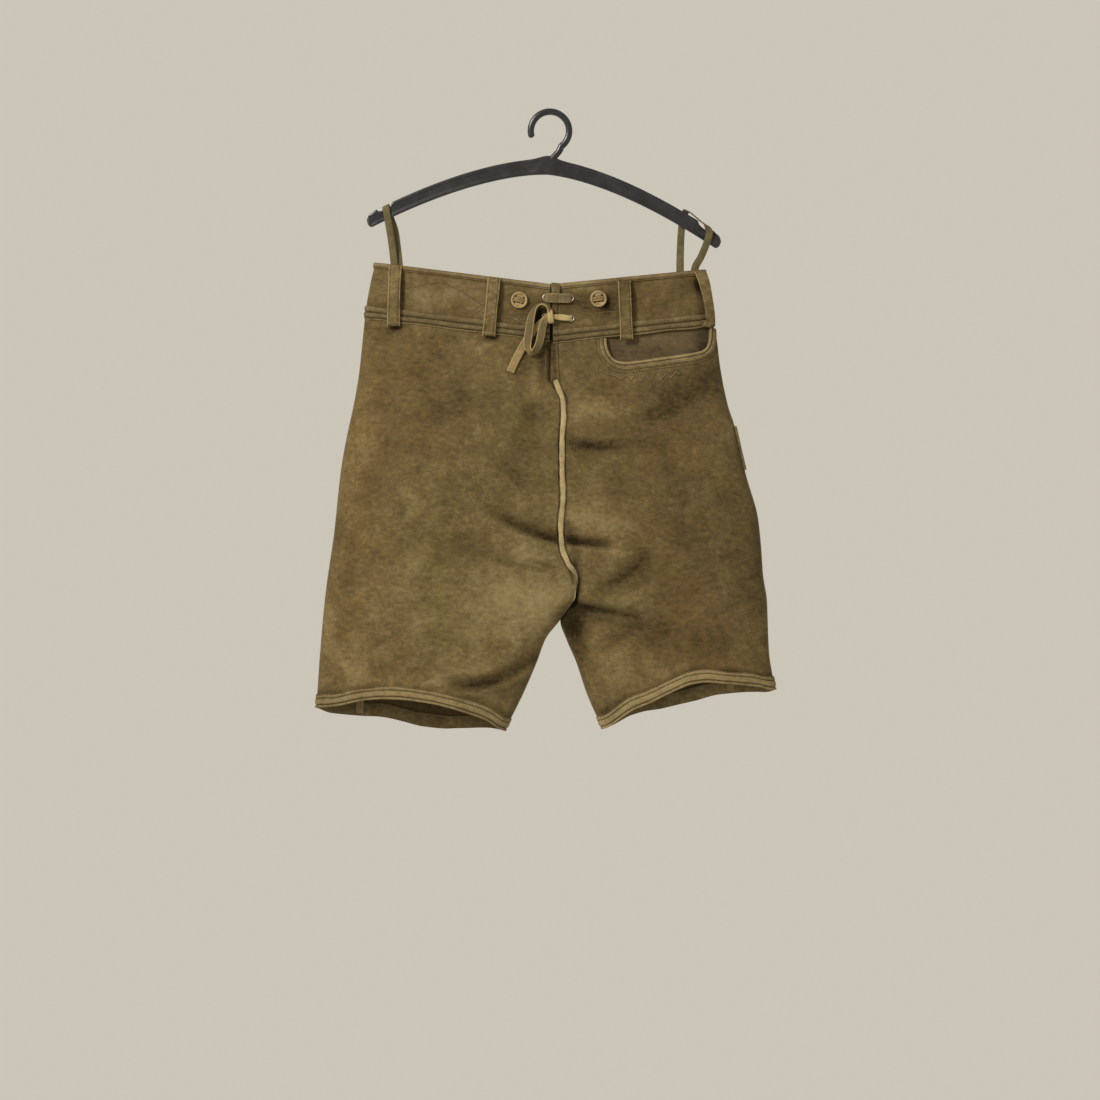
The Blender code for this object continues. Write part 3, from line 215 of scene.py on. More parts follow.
# Changes of tone by face, mostly painted light and shade: shadows in the crotch, in the slit,
# in the bow's hollow, beside a button and in the hollows of belt loops, and broad areas lighter
# or darker as the light falls, with some of the leather's own patches: x, drop, reach along
# and across, turn, amount (light is +)
SHADES = {
    "back": (
        (-6, 582, 44, 30, 20, 0.36), (-56, 572, 28, 20, 0, 0.26), (-16, 530, 34, 12, 20, 0.24),
        (-62, 616, 60, 22, -6, 0.14), (-18, 336, 16, 22, 0, 0.26), (92, 348, 50, 14, -14, 0.12),
        (44, 346, 26, 18, 0, 0.22), (60, 491, 42, 12, 8, 0.36), (92, 571, 42, 14, -14, 0.14),
        (60, 655, 60, 34, 0, 0.26), (-222, 360, 62, 13, 97, 0.12), (-246, 600, 100, 10, 94, -0.14),
        (-66, 470, 34, 22, 30, 0.1), (-92, 400, 30, 50, 0, 0.1), (-92, 668, 46, 12, -10, 0.26),
        (-196, 684, 50, 10, 0, 0.24), (40, 470, 26, 26, 0, 0.14), (184, 402, 26, 20, 0, 0.14),
        (236, 640, 26, 40, 0, 0.12), (-150, 372, 40, 76, 0, -0.22), (-205, 410, 30, 44, 0, -0.16),
        (-176, 296, 40, 20, 0, -0.1), (-104, 346, 28, 30, 0, -0.24), (-40, 352, 32, 26, 60, -0.18),
        (-62, 398, 30, 16, 60, -0.06), (-199, 330, 14, 22, 0, -0.14), (-186, 266, 26, 12, 0, -0.2),
        (-70, 278, 16, 8, 0, 0.16), (-94, 324, 14, 14, 0, 0.14), (-16, 318, 10, 26, 0, 0.16),
        (-16, 410, 16, 36, 0, -0.1), (-16, 541, 18, 9, 24, 0.22), (92, 602, 18, 14, 0, 0.2),
        (-244, 656, 24, 40, 0, 0.24), (185, 632, 40, 26, 0, -0.14), (252, 528, 10, 44, 0, -0.2),
        (10.8, 276, 4, 30, 0, 0.26), (-17, 252, 3.4, 24, 10, -0.8), (-20, 600, 50, 12, 0, 0.06),
        (-42, 424, 16, 40, 20, -0.22), (-132, 312, 36, 24, 0, -0.12), (-205, 520, 34, 60, 0, 0.08),
        (-72, 588, 36, 60, 0, 0.17), (-30, 528, 26, 14, 24, 0.14), (-18, 364, 18, 18, 0, -0.2),
        (166, 440, 50, 24, 0, -0.1), (186, 516, 54, 44, 0, -0.17), (84, 580, 28, 14, 0, 0.24),
        (138, 676, 44, 16, 0, 0.16), (36, 650, 14, 44, -14, -0.44), (236, 560, 16, 40, 0, -0.2),
        (-150, 230, 16, 26, 0, 0.22), (30, 203, 44, 12, 0, 0.42), (-92, 218, 50, 16, 0, 0.08),
        (66, 228, 8, 14, 0, -0.5), (176, 205, 5, 10, -16, -0.9), (181, 248, 5, 6, 0, -0.9),
        (150, 342, 60, 22, -25, -0.36), (110, 330, 60, 13, -4, -0.24),
        (188, 312, 20, 30, 0, -0.22), (118, 396, 40, 24, 0, -0.18), (214, 470, 40, 26, 80, -0.14),
        (50, 398, 38, 11, 0, -0.34), (212, 600, 44, 50, 0, -0.1), (96, 560, 30, 16, -30, -0.2),
        (206, 682, 34, 12, 0, -0.4), (-100, 520, 34, 16, 30, -0.14), (150, 640, 50, 30, 0, -0.14),
        (116, 614, 30, 16, 0, -0.2), (-11, 300, 6, 32, 0, -0.5), (12, 312, 6, 20, 0, -0.2),
        (-34, 300, 20, 14, 60, -0.24), (-17, 238, 9, 9, 0, -0.6), (-230, 560, 150, 46, 92, 0.04),
        (-130, 640, 90, 60, 0, 0.06), (27, 606, 20, 20, 20, -0.92), (56, 606, 34, 8, 10, -0.16),
        (24, 636, 16, 40, -14, -0.3), (-66, 688, 60, 8, -14, -0.3), (30, 225, 62, 13, 0, -0.3),
        (60, 248, 40, 8, 0, 0.12), (160, 206, 26, 14, 0, -0.26), (184, 226, 8, 26, 0, -0.4),
        (-146, 216, 34, 14, 0, 0.22), (-206, 236, 20, 16, 0, -0.2),
    ),
    "front": (
        (0, 480, 60, 40, 40, -0.22), (-60, 610, 60, 30, 0, 0.26), (70, 600, 50, 30, 0, 0.24),
        (150, 400, 60, 40, 30, -0.2), (-160, 560, 60, 50, 0, 0.16), (-120, 330, 50, 30, 0, -0.18),
    ),
}
# Green patches, in the same columns (red is -)
MOSSES = {
    "back": (
        (-232, 460, 160, 34, 94, -0.9), (-180, 320, 60, 40, 20, -0.5),
        (-220, 660, 60, 40, 0, -0.5), (170, 640, 80, 60, 20, -0.8), (140, 520, 60, 50, 0, -0.4),
        (40, 640, 30, 40, 0, -0.5), (56, 500, 30, 24, 0, -0.4), (-96, 660, 50, 20, 0, -0.4),
        (110, 390, 60, 30, 0, -0.3), (-132, 580, 110, 26, 84, 0.9), (-40, 372, 60, 26, 60, 0.5),
        (-100, 440, 40, 30, 40, 0.5), (70, 586, 50, 26, 0, 0.6), (30, 440, 40, 30, 0, 0.4),
        (200, 420, 60, 30, 60, 0.3),
    ),
    "front": (
        (-200, 500, 90, 50, 60, -0.5), (60, 480, 80, 50, 60, 0.6), (-120, 600, 90, 40, 80, 0.6),
    ),
}
# Painted light along the left leg's inner edge and painted shadow beside the right one's at the
# crotch, in the same columns, with the distance from the line for x
CROTCH_SHADES = {
    "left": ((0, 584, 40, 34, 0, 0.34), (0, 600, 2.5, 22, 0, 0.3)),
    "right": ((0, 572, 4.5, 38, 0, -1.0),),
}
# Painted shade in the grooves along the centre seam and the slit: distance, width, top, bottom,
# amount
SEAM_SHADES = ((0, 3.0, 262, 330, -0.4), (3.8, 1.3, 326, 562, -0.6))

# Shade of the row above the hems: height, reach, amount
NEAR_HEM = (15, 4.5, -0.3)
RIGHT_HEM_SHADE = 0.12   # added to the right hem's binding
# Painted shade in the hip pocket's recess, darkest at its right end, in the columns of SHADES
FACING_SHADES = ((124, 284, 60, 9, 0, -0.25), (184, 276, 12, 26, 0, -0.5))
CORE = 0.6               # width of a fold's core, and its painted shade for each mm of depth
CORE_SHADE = 0.035

# Belt loops: face, top x, top drop, bottom x, bottom drop
BELT_LOOPS = {
    "belt_loop_1": ("back", -186.0, 182.0, -188.2, 254.0),
    "belt_loop_2": ("back", -67.8, 196.0, -74.6, 266.0),
    "belt_loop_3": ("back", 87.4, 200.0, 90.5, 270.5),
    "belt_loop_4": ("back", 178.0, 189.0, 190.0, 255.0),
    "belt_loop_5": ("front", -105.0, 192.5, -108.0, 262.0),
    "belt_loop_6": ("front", 105.0, 197.0, 109.0, 268.0),
}
# Shape of a belt loop: share of its length, height of its under side
LOOP_SHAPE = ((0.0, 2.5), (0.1, 4.1), (0.22, 6.0), (0.5, 6.4), (0.74, 6.0), (0.9, 4.3), (1.0, 2.5))
LOOP_WIDTH = 15.6
LOOP_WALL = 2.0
NARROW_LOOP = "belt_loop_4"     # narrows downwards and bows outwards
LOOP_STATIONS = 34
LOOP_ROWS = ((-5.3, 1.0), (5.3, 1.0))       # its rows of stitches: distance, height
LOOP_TURN = (178.5, 189.0, 184.0, 181.0)    # turned-up end: left, right, middle and fold
# Painted shadows below and beside a belt loop: offset, drop, reach along and across, amount
BELOW_LOOP = (1.5, 2.6, 9.0, 3.6, 0.75)
BESIDE_LOOP = (8.6, 0.0, 34.0, 2.6, 0.35)

# Buttons: face, x, drop, lift, turn of the thong across them (degrees)
BUTTONS = {
    "back_button_left": ("back", -38.0, 223.0, 0.7, 11.0),
    "back_button_right": ("back", 56.8, 221.5, 0.7, -8.0),
    "flap_button_left": ("front", -54.0, 226.0, 3.3, 6.0),
    "flap_button_right": ("front", 58.0, 226.0, 3.3, -9.0),
}
# Half sections (radius, height) of a button, its holes and its slot, an eyelet and its hole
BUTTON_PROFILE = (
    (0.0, 2.2), (5.0, 2.2), (6.6, 2.3), (7.4, 2.9), (8.0, 3.7), (8.8, 3.95), (9.5, 3.7),
    (9.95, 3.0), (10.0, 1.8), (9.6, 0.8), (8.6, 0.15), (4.0, 0.0), (0.0, 0.0),
)
BUTTON_HOLE = ((1.2, 2.62), (1.75, 2.45), (1.8, 2.0))
BUTTON_SLOT = ((1.2, 2.5), (1.75, 2.45), (1.8, 2.0))
SLOT_SCALE = (4.15, 2.15, 1.0)
HOLE_STEPS = 16
EYELET_PROFILE = (
    (2.35, 0.1), (2.35, 1.0), (2.7, 1.6), (3.3, 1.85), (3.9, 1.6), (4.25, 0.9), (4.3, 0.35),
    (4.0, 0.3), (3.0, 0.1),
)
EYELET_HOLE = ((0.0, 0.5), (1.6, 0.45), (2.4, 0.3), (2.4, -0.3), (0.0, -0.3))
BUTTON_HOLES = ((-5.4, -3.7), (5.4, -3.7), (-5.6, 3.4), (5.6, 3.4))     # x, drop from the middle
# Eyelets: x, drop
EYELETS = {
    "eyelet_1": (-6.2, 219.8),
    "eyelet_2": (23.5, 220.8),
    "eyelet_3": (-7.0, 242.8),
    "eyelet_4": (24.0, 244.8),
}

# Scoop of the hip pocket, as the centre line of its binding: x and drop
SCOOP = (
    (62.8, 269.0), (63.2, 276.0), (64.9, 283.4), (68.6, 291.0), (74.6, 297.0), (81.8, 300.0),
    (92.0, 300.8), (106.0, 299.0), (128.0, 296.0), (148.0, 293.2), (164.0, 290.8), (175.0, 288.8),
    (183.2, 286.0), (188.8, 281.0), (191.8, 273.0), (192.6, 264.0), (192.6, 256.0),
)
KNIFE_POUCH = (0.962, 0.8, 386.0, 556.0)     # outer and inner share s, top and bottom drop
KNIFE_FLAP = (374.0, 426.0)                  # top and bottom drop
# Lift of the knife pocket's flap: turn round the right fold (1 - s, negative on the back),
# height
KNIFE_FLAP_LIFT = (
    (-0.008, 2.4), (0.01, 2.4), (0.026, 3.0), (0.045, 4.8), (0.1, 5.2), (0.21, 5.2),
)
# Sheets on the skin: left, right, top and bottom
GUSSET = (-15.0, 19.0, 203.0, 352.0)
FACING = (57.0, 191.0, 250.0, 324.0)      # its top follows the waist seam at this drop's width
FLAP = (-66.0, 70.0, 214.0, 392.0)
FLAP_LIFT = 2.5
# Tucked stations of the placket's tab: inwards, down
TAB_TUCK = ((4.6, -0.9), (1.8, -1.0), (0.5, -0.6))

# The lacing thong: x, drop, height of its middle over the band, width, wall, lean (degrees)
LACE = (
    (24.6, 245.0, 2.2, 5.4, 2.2, 0), (21.0, 244.7, 4.0, 6.4, 2.4, 0),
    (13.0, 243.8, 4.7, 7.4, 2.8, 8), (5.5, 243.2, 5.0, 5.8, 2.4, 4),
    (-0.6, 242.2, 5.8, 5.6, 2.2, 0), (-1.2, 236.6, 8.2, 6.6, 1.7, 40),
    (-5.0, 230.4, 9.4, 7.4, 1.5, 70), (-11.8, 227.8, 9.8, 8.0, 1.4, 78),
    (-18.4, 231.6, 9.6, 8.4, 1.4, 64), (-22.6, 240.0, 9.2, 8.8, 1.4, 34),
    (-25.0, 251.0, 9.0, 9.2, 1.4, 16), (-26.8, 263.0, 9.0, 9.6, 1.4, 12),
    (-28.0, 273.5, 9.6, 9.6, 1.4, 16), (-27.4, 281.0, 9.8, 9.0, 1.4, 36),
    (-23.2, 286.2, 9.2, 8.6, 1.4, 46), (-17.8, 282.0, 8.4, 9.0, 1.4, 30),
    (-14.0, 274.0, 8.0, 9.0, 1.4, 12), (-11.8, 264.0, 8.0, 9.2, 1.4, 6),
    (-9.8, 254.0, 8.2, 8.6, 1.4, 4), (-7.0, 246.5, 8.6, 7.4, 1.5, 6),
    (-3.6, 241.6, 7.6, 6.0, 1.7, 0), (-4.0, 243.8, 5.6, 6.4, 1.6, 0),
    (-12.0, 250.5, 4.6, 8.0, 1.5, 0), (-22.0, 260.5, 4.2, 8.8, 1.4, 0),
    (-30.0, 272.4, 3.8, 9.2, 1.4, 0), (-36.8, 284.0, 3.2, 9.2, 1.4, 3),
    (-43.0, 296.0, 2.6, 9.2, 1.4, 5), (-48.8, 309.0, 2.2, 9.0, 1.4, 6),
)
# Its rubbed stretches, and painted shade in the flesh side's colour on two stretches of the
# bow's loop: station, amount
RUBBED = ((0, 1.0), (34, 1.0), (44, 0.0), (148, 0.0), (156, 0.25))
PAINTED_STRAND_SHADE = ((54, 0), (60, 0.8), (98, 0.75), (104, 0.3), (114, 0.3), (120, 0.7), (146, 0.7), (154, 0))
# The upper crossing, in the columns of LACE
UPPER_LACE = (
    (-7.6, 220.2, 2.4, 8.0, 1.4, 0), (-4.6, 220.3, 3.5, 10.4, 1.4, 0),
    (2.0, 220.4, 3.9, 10.9, 1.5, 0), (8.4, 220.6, 4.0, 10.9, 1.5, 0),
    (15.0, 220.8, 3.9, 10.9, 1.5, 0), (21.6, 221.0, 3.5, 10.4, 1.4, 0),
    (24.6, 221.2, 2.4, 8.0, 1.4, 0),
)
KNOT = (-0.8, 242.6, 6.2)        # x, drop, height
# Turns of the knot: CAD nodes, half depth and half height, width, wall, swing (degrees), shift
KNOT_TURNS = {
    "knot_turn": (("lace_knot",), 4.2, 7.4, 6.4, 1.5, 6.0, (0.2, 0.4, 0.5)),
    "knot_core": ((), 3.0, 4.6, 5.2, 2.4, 84.0, (0.0, 0.8, 0.0)),
}

# Start of the piping, across the slit's foot: drop, x
PIPING_HEAD = ((318.5, 5.4), (323, 7.0), (329, 9.2), (337, 12.0), (347, 14.2), (361, 15.2))
PIPING_FOOT = 570.0
PIPING_WIDTH = 6.8
PIPING_WALL = 2.9
CROTCH_SHADOW_DROPS = (583.0, 604.0)     # top and bottom drop of the dark sheet of painted shadow below the piping
TAB = (203.8, 216.0)     # and of the tab at the head of the slit
SEAM_INSIDE = (0.72, 0.997)     # shares of the way down that show a side seam inside

# Straps that hang the trousers on the hanger, from inside the band over an arm and back:
# the middle (x, y, drop) and the direction of the width (x, y, drop)
STRAPS = {
    "left": (
        (-187.0, -4.9, 206.0, 1, 0, 0), (-187.2, -4.4, 190.0, 1, 0, 0),
        (-187.8, -3.6, 180.0, 1, 0, 0), (-191.5, -4.0, 150.0, 1, 0, -0.1),
        (-196.5, -4.3, 121.0, 1, 0, -0.35), (-197.8, -4.1, 113.4, 1, 0, -0.5),
        (-198.2, -2.8, 109.7, 1, 0, -0.52), (-198.0, 0.0, 109.0, 1, 0, -0.54),
        (-197.6, 2.8, 109.2, 1, 0, -0.54), (-197.0, 4.4, 112.8, 1, 0, -0.5),
        (-193.4, 4.7, 122.0, 1, 0, -0.4), (-187.8, 3.9, 138.0, 1, 0, -0.2),
        (-185.4, 3.0, 152.0, 1, 0, 0), (-182.4, -0.6, 176.0, 1, 0, 0),
        (-181.6, -2.0, 190.0, 1, 0, 0), (-181.4, -2.6, 206.0, 1, 0, 0),
    ),
    "right": (
        (154.8, -5.0, 210.0, 1, 0, 0), (154.8, -4.0, 190.0, 1, 0, 0), (155.0, 0.0, 172.0, 1, 0, 0),
        (155.6, 3.4, 154.0, 1, 0, 0), (156.6, 4.6, 138.0, 1, 0, 0),
        (158.4, 5.2, 126.0, 1, 0.1, 0.3), (161.5, 5.2, 116.0, 0.9, 0.4, 0.45),
        (166.5, 2.2, 116.6, 0.6, 0.8, 0.3), (172.5, 0.0, 121.4, 0.5, 0.85, 0.3),
        (179.5, -1.4, 127.6, 0.55, 0.8, 0.3), (185.6, -4.2, 132.6, 0.75, 0.6, 0.4),
        (189.4, -5.2, 139.5, 0.95, 0.2, 0.35), (189.4, -4.9, 145.0, 1, 0, 0.3),
        (186.0, -3.8, 156.0, 1, 0, 0.3), (179.6, -1.6, 171.0, 1, 0, 0.3),
        (173.4, -0.7, 182.0, 1, 0, 0.2), (171.6, -0.9, 194.0, 1, 0, 0),
        (171.0, -1.6, 208.0, 1, 0, 0),
    ),
}
STRAP_WIDTH = 8.8
STRAP_WALL = 1.3

# Hanger: lower edge of an arm = ARM_DROP + ARM_FALL * share ** ARM_CURVE
HANGER_TILT = math.radians(3.5)
HOOK_RADIUS = 19.0
HOOK_BAR = 8.0
HOOK_THICK = 6.0
HOOK_TURN = (math.radians(-52), math.radians(205))
STEM_FOOT = 62.0
ARM_REACH = 213.0
ARM_FLAT = 207.0         # where the lower edge stops falling
ARM_ROUND = 203.0        # where the end begins to close
ARM_DROP = 72.0
ARM_FALL = 76.0
ARM_CURVE = 1.6
ARM_HEIGHT = 19.0
ARM_WEB = 1.5            # half thickness of the web and of the rim
ARM_RIM = 3.0
ARM_SQUARE = 0.42        # exponent of the section's waves; less is squarer
ARM_COUNTS = (180, 48)   # stations, points round the section
NOTCH_AT = 192.5
NOTCH_WIDTH = 18.0
NOTCH_DEPTH = 5.0

# Ornamental stitching of the band by face: arches, sweeps and crosses of (x, drop) points
ORNAMENT = {
    "back": (
        ((-172, 209), (-158, 205), (-144, 202.8), (-126.6, 204), (-107.4, 212.4), (-83, 228)),
        ((-108, 232), (-96, 236), (-84, 229)),
        ((-100, 246), (-91, 240), (-83, 233)),
        ((-211, 197), (-203, 200), (-195.6, 205)),
        ((-58, 240), (-46, 241.6), (-34, 239.6)),
        ((-47, 253), (-40, 248), (-33, 241)),
        ((-49, 243), (-42, 249), (-33, 253)),
        ((10.5, 232), (21.4, 231.2), (32.4, 234.2), (44.4, 237.4), (61.7, 236.2), (80, 235)),
        ((54.4, 254), (60, 247), (67, 238.7)),
        ((51, 240), (58, 246), (66, 252)),
        ((101.6, 224), (111, 218.4), (120.7, 213.6), (143.6, 209.4), (163, 211.2), (174, 215.4)),
    ),
    "front": (
        ((-90, 224), (-76, 216), (-70, 211)),
        ((-196, 214), (-170, 205), (-140, 206), (-118, 220)),
        ((180, 219), (156, 210), (138, 212), (120, 224)),
        ((94, 226), (82, 218), (74, 213)),
    ),
}
# Zigzag below the hip pocket: x, drop
ZIGZAG = (
    (60, 307.5), (68, 311.5), (76, 313), (84, 318), (90, 313), (95.5, 319), (101, 312), (107, 320),
    (113, 313.5), (119, 319.5), (125, 309.5), (131, 319), (138, 310.5), (143, 317), (149, 308.5),
    (153, 311),
)
# Profiles (along the face, out) and the shades of their points, which paint highlights on the
# ridges and shade in the grooves: rolled edge of the band, double welt, bindings of the pocket
# and of the hems
ROLLED_EDGE = (
    (-5.2, 0.45), (-5.2, 0.9), (-4.7, 1.45), (-4.1, 1.5), (-3.5, 1.05), (-2.9, 1.5), (-1.8, 1.95),
    (-0.2, 2.05), (1.0, 1.6), (1.7, 0.6), (1.85, -1.5), (1.7, -3.6), (1.0, -4.6), (-0.4, -5.1),
    (-3.0, -4.9), (-5.2, -4.6), (-5.2, -3.45), (0.4, -3.45), (0.4, 0.45),
)
WELT = (
    (-9.8, 0.4), (6.0, 0.4), (6.1, 1.2), (5.4, 1.85), (4.0, 2.1), (2.4, 2.0), (0.7, 1.5),
    (-0.3, 0.95), (-0.9, 0.45), (-1.5, 0.95), (-2.3, 1.65), (-3.7, 2.0), (-5.2, 1.9), (-6.4, 1.5),
    (-7.2, 0.9), (-7.7, 0.5), (-8.3, 0.95), (-9.0, 1.25), (-9.8, 0.9),
)
WELT_SHADES = (
    0, -0.25, -0.15, -0.1, -0.1, -0.1, -0.1, -0.2, -0.2, -0.2, -0.1, -0.1, -0.1, -0.1, -0.3, -0.5,
    0.1, 0.18, 0.1,
)
POCKET_BINDING = (
    (-6.0, 0.4), (-6.0, 0.9), (-5.6, 1.2), (-5.1, 0.8), (-4.6, 1.25), (-2.6, 1.45), (-0.7, 1.3),
    (-0.1, 0.8), (0.5, 1.45), (1.3, 2.2), (2.3, 2.5), (3.1, 2.2), (3.7, 1.4), (3.9, 0.3),
    (3.9, -1.5), (3.5, -2.2), (2.8, -2.2), (2.5, -1.7), (2.5, 0.2), (2.0, 0.4),
)
POCKET_SHADES = (
    0, 0.1, 0.1, -0.6, 0.2, 0.22, 0.1, -0.7, 0.3, 0.45, 0.5, 0.35, 0.1, -0.4, -0.6, -0.6, -0.5,
    -0.5, -0.5, 0,
)
HEM_BINDING = (
    (-13.2, 0.45), (-13.2, 0.95), (-12.9, 1.3), (-12.4, 0.85), (-11.9, 1.4), (-10.4, 1.8),
    (-9.0, 1.6), (-8.2, 0.8), (-7.5, 1.5), (-6.2, 1.95), (-3.6, 2.05), (-1.8, 1.75), (-1.2, 1.0),
    (-0.7, 0.3), (-0.1, 0.9), (0.4, 1.5), (1.3, 1.85), (2.3, 1.7), (2.8, 0.9), (2.85, -1.0),
    (2.85, -2.6), (2.4, -3.4), (1.3, -3.6), (-4.0, -3.45), (-12.4, -3.3), (-13.2, -2.9),
    (-13.2, -2.25), (0.4, -2.25), (0.4, 0.45),
)
HEM_SHADES = (0.12,) * 19 + (0.06, 0.1, 0.15, 0.42, 0.42, 0.37, 0.25, 0.15, 0.0, 0.0)

# ---------------------------------------------------------------- sections of the trousers
def monotone(x, knots, values):
    """Monotone cubic through (knots, values): on each span, value + rise + tangent terms."""
    knots = np.asarray(knots, float)
    values = np.asarray(values, float)
    x = np.asarray(x, float)
    width = np.diff(knots)
    slope = np.diff(values) / width
    a = 2 * width[1:] + width[:-1]
    b = width[1:] + 2 * width[:-1]
    turning = slope[:-1] * slope[1:] <= 0
    safe = np.where(slope == 0, 1.0, slope)
    inner = np.where(turning, 0.0, (a + b) / (a / safe[:-1] + b / safe[1:] + turning * 1e9))
    tangent = np.concatenate([slope[:1], inner, slope[-1:]])
    i = np.clip(np.searchsorted(knots, x) - 1, 0, len(width) - 1)
    t = np.clip((x - knots[i]) / width[i], 0.0, 1.0)
    rise = t * t * (3 - 2 * t)
    lead = t * (1 - t) ** 2 * tangent[i] * width[i]
    tail = -t * t * (1 - t) * tangent[i + 1] * width[i]
    return values[i] + (values[i + 1] - values[i]) * rise + lead + tail


def column(table, index, drop):
    """One column of a table, read at an array of drops."""
    return monotone(drop, [row[0] for row in table], [row[index] for row in table])


def inner_x(side, drop):
    return column(INNER_LINES, 1 + SIDES.index(side), drop)


def outer_x(side, drop):
    return column(OUTER_FOLDS[side], 1, drop)


def bell(x, drop, x0, drop0, along, across, turn):
    """exp(-(u/along)^2 - (v/across)^2), with u and v turned by an angle in degrees."""
    c = math.cos(math.radians(turn))
    s = math.sin(math.radians(turn))
    u = (x - x0) * c + (drop - drop0) * s
    v = (drop - drop0) * c - (x - x0) * s
    return np.exp(-(u / along) ** 2 - (v / across) ** 2)


def patches(rows, x, drop):
    """Sum of hand-placed bells."""
    total = np.zeros(np.broadcast(x, drop).shape)
    for *spread, amount in rows:
        total = total + amount * bell(x, drop, *spread)
    return total


def beside_line(x, drop, x0, d0, x1, d1, bow):
    """Place a along a bowed line, the same kept to 0..1, distance below it, and its length.

    The line bows upwards by bow * 4a(1 - a).
    """
    length = math.hypot(x1 - x0, d1 - d0)
    a = ((x - x0) * (x1 - x0) + (drop - d0) * (d1 - d0)) / length ** 2
    inside = np.clip(a, 0.0, 1.0)
    below = ((drop - d0) * (x1 - x0) - (x - x0) * (d1 - d0)) / length
    below = below + bow * 4 * inside * (1 - inside)
    return a, inside, below, length


def folds(side, face, x, drop, core=1.0):
    """Depth of the folds, inwards: for each, depth * taper(a) * (trough - 0.4 lip).

    a is the place along the fold's bowed line.  The trough is exp(-(u / w)^2), u being the
    distance over the width: w is 1 above the line and 0.55 below it.  The lip is
    exp(-((u - 1.2) / 0.6)^2), below the line.  A narrow core keeps the trough only.
    """
    total = np.zeros(np.broadcast(x, drop).shape)
    for x0, d0, x1, d1, bow, depth, width in FOLDS[face] + FOLDS.get(side + " " + face, ()):
        a, inside, below, length = beside_line(x, drop, x0, d0, x1, d1, bow)
        u = below / width
        taper = 0.3 + 0.7 * np.sin(math.pi * inside) ** 0.8
        taper = taper * np.exp(-((a - inside) * length / width) ** 2)
        if core < 1:
            total = total + max(depth, 0.0) * taper * np.exp(-(u / core) ** 2)
        elif depth < 0:
            total = total + depth * taper * np.exp(-u ** 2)
        else:
            trough = np.exp(-(u / np.where(u > 0, 0.55, 1.0)) ** 2)
            total = total + depth * taper * (trough - 0.4 * np.exp(-((u - 1.2) / 0.6) ** 2))
    return total


def crease_shades(side, face, x, drop):
    """Shade of the creases: for each, amount(a) * end(a) * exp(-(distance / width)^2).

    The width differs above and below the line, and the amount runs evenly from end to end.
    """
    total = np.zeros(np.broadcast(x, drop).shape)
    for x0, d0, x1, d1, bow, above, under, start, end in CREASES.get(side + " " + face, ()):
        a, inside, below, length = beside_line(x, drop, x0, d0, x1, d1, bow)
        across = np.exp(-(below / np.where(below > 0, under, above)) ** 2)
        ends = np.exp(-((a - inside) * length / CREASE_END) ** 2)
        total = total + (start + (end - start) * inside) * ends * across
    return total


def sway(face, x, drop):
    """Broad uneven waves: a sum of plane sine waves, other ones on the front."""
    flip = 1.0 if face == "back" else -1.0
    total = np.zeros(np.broadcast(x, drop).shape)
    for over_x, over_drop, phase, share in WAVES:
        total = total + share * np.sin(over_x * x * flip + over_drop * drop + phase * (2 - flip))
    return total * bpy.context.scene.leather_cut.sway / MM


def seam_relief(side, face, x, low, drop):
    """Height over the plain skin beside the centre seam and the laced slit.

    The leather sinks by depth * exp(-(distance / reach)^2) at the closed seam, with shallow
    puckers, and the right edge of the slit is folded back as a strip.
    """
    away = np.abs(x - low)
    if face == "front":
        return -FRONT_SEAM[0] * np.exp(-(away / FRONT_SEAM[1]) ** 2)
    seam = 1 / (1 + np.exp(-(drop - SLIT_END) / 3))
    height, pitch, swing, swing_pitch, middle, reach = PUCKERS
    pucker = height * np.sin(drop / pitch + swing * np.sin(drop / swing_pitch))
    pucker = pucker * np.exp(-((away - middle) / reach) ** 2)
    height = seam * (-BACK_SEAM[0] * np.exp(-(away / BACK_SEAM[1]) ** 2) + pucker)
    if side == "right":
        strip = 1 / (1 + np.exp((away - SLIT_STRIP[0]) / SLIT_STRIP[1]))
        groove = np.exp(-((away - SLIT_GROOVE[0]) / SLIT_GROOVE[1]) ** 2)
        height = height + (1 - seam) * (SLIT_STRIP[2] * strip - SLIT_GROOVE[2] * groove)
    return height


def between(side, low, far, face, s, drop):
    """Point (x, y, drop) at share s from the inner line to the outer fold.

    y = -+(depth + heights) * (1 - t^P)^(1/P), with t from 0 at the crown to 1 at the fold and
    to "close" at the inner line.
    """
    crown = column(SECTIONS, CROWN, drop)
    outward = (s - crown) / (1 - crown)
    inward = column(SECTIONS, CLOSE, drop) * (crown - s) / crown
    t = np.clip(np.where(s >= crown, outward, inward), 0.0, 1.0)
    power = np.where(s >= crown, ROUNDNESS, INNER_ROUNDNESS)
    bulge = (1 - t ** power) ** (1 / power)
    x = low + (far - low) * s
    depth = column(SECTIONS, 1 if face == "back" else 2, drop)
    loose = np.clip((drop - LOOSE[0]) / LOOSE[1], 0.0, 1.0)
    depth = depth - loose * folds(side, face, x, drop)
    depth = depth + (BAND_SWAY + (1 - BAND_SWAY) * loose) * sway(face, x, drop)
    depth = depth + seam_relief(side, face, x, low, drop)
    y = depth * bulge + GAP / 2
    return np.stack(np.broadcast_arrays(x, -y if face == "back" else y, drop), axis=-1)


def skin(side, face, s, drop):
    s = np.asarray(s, float)
    drop = np.asarray(drop, float)
    return between(side, inner_x(side, drop), outer_x(side, drop), face, s, drop)


def edge_drop(edge, side, face, s):
    """Drop of a named edge at share s: the straight line, raised by a hem's sweep."""
    inner, outer = EDGES[edge + "_" + side]
    s = np.clip(s, 0.0, 1.0)
    drop = inner + (outer - inner) * s
    if edge == "hem":
        knots, heights = zip(*HEM_SWEEPS[side + "_" + face])
        drop = drop - monotone(s, knots, heights)
    return drop


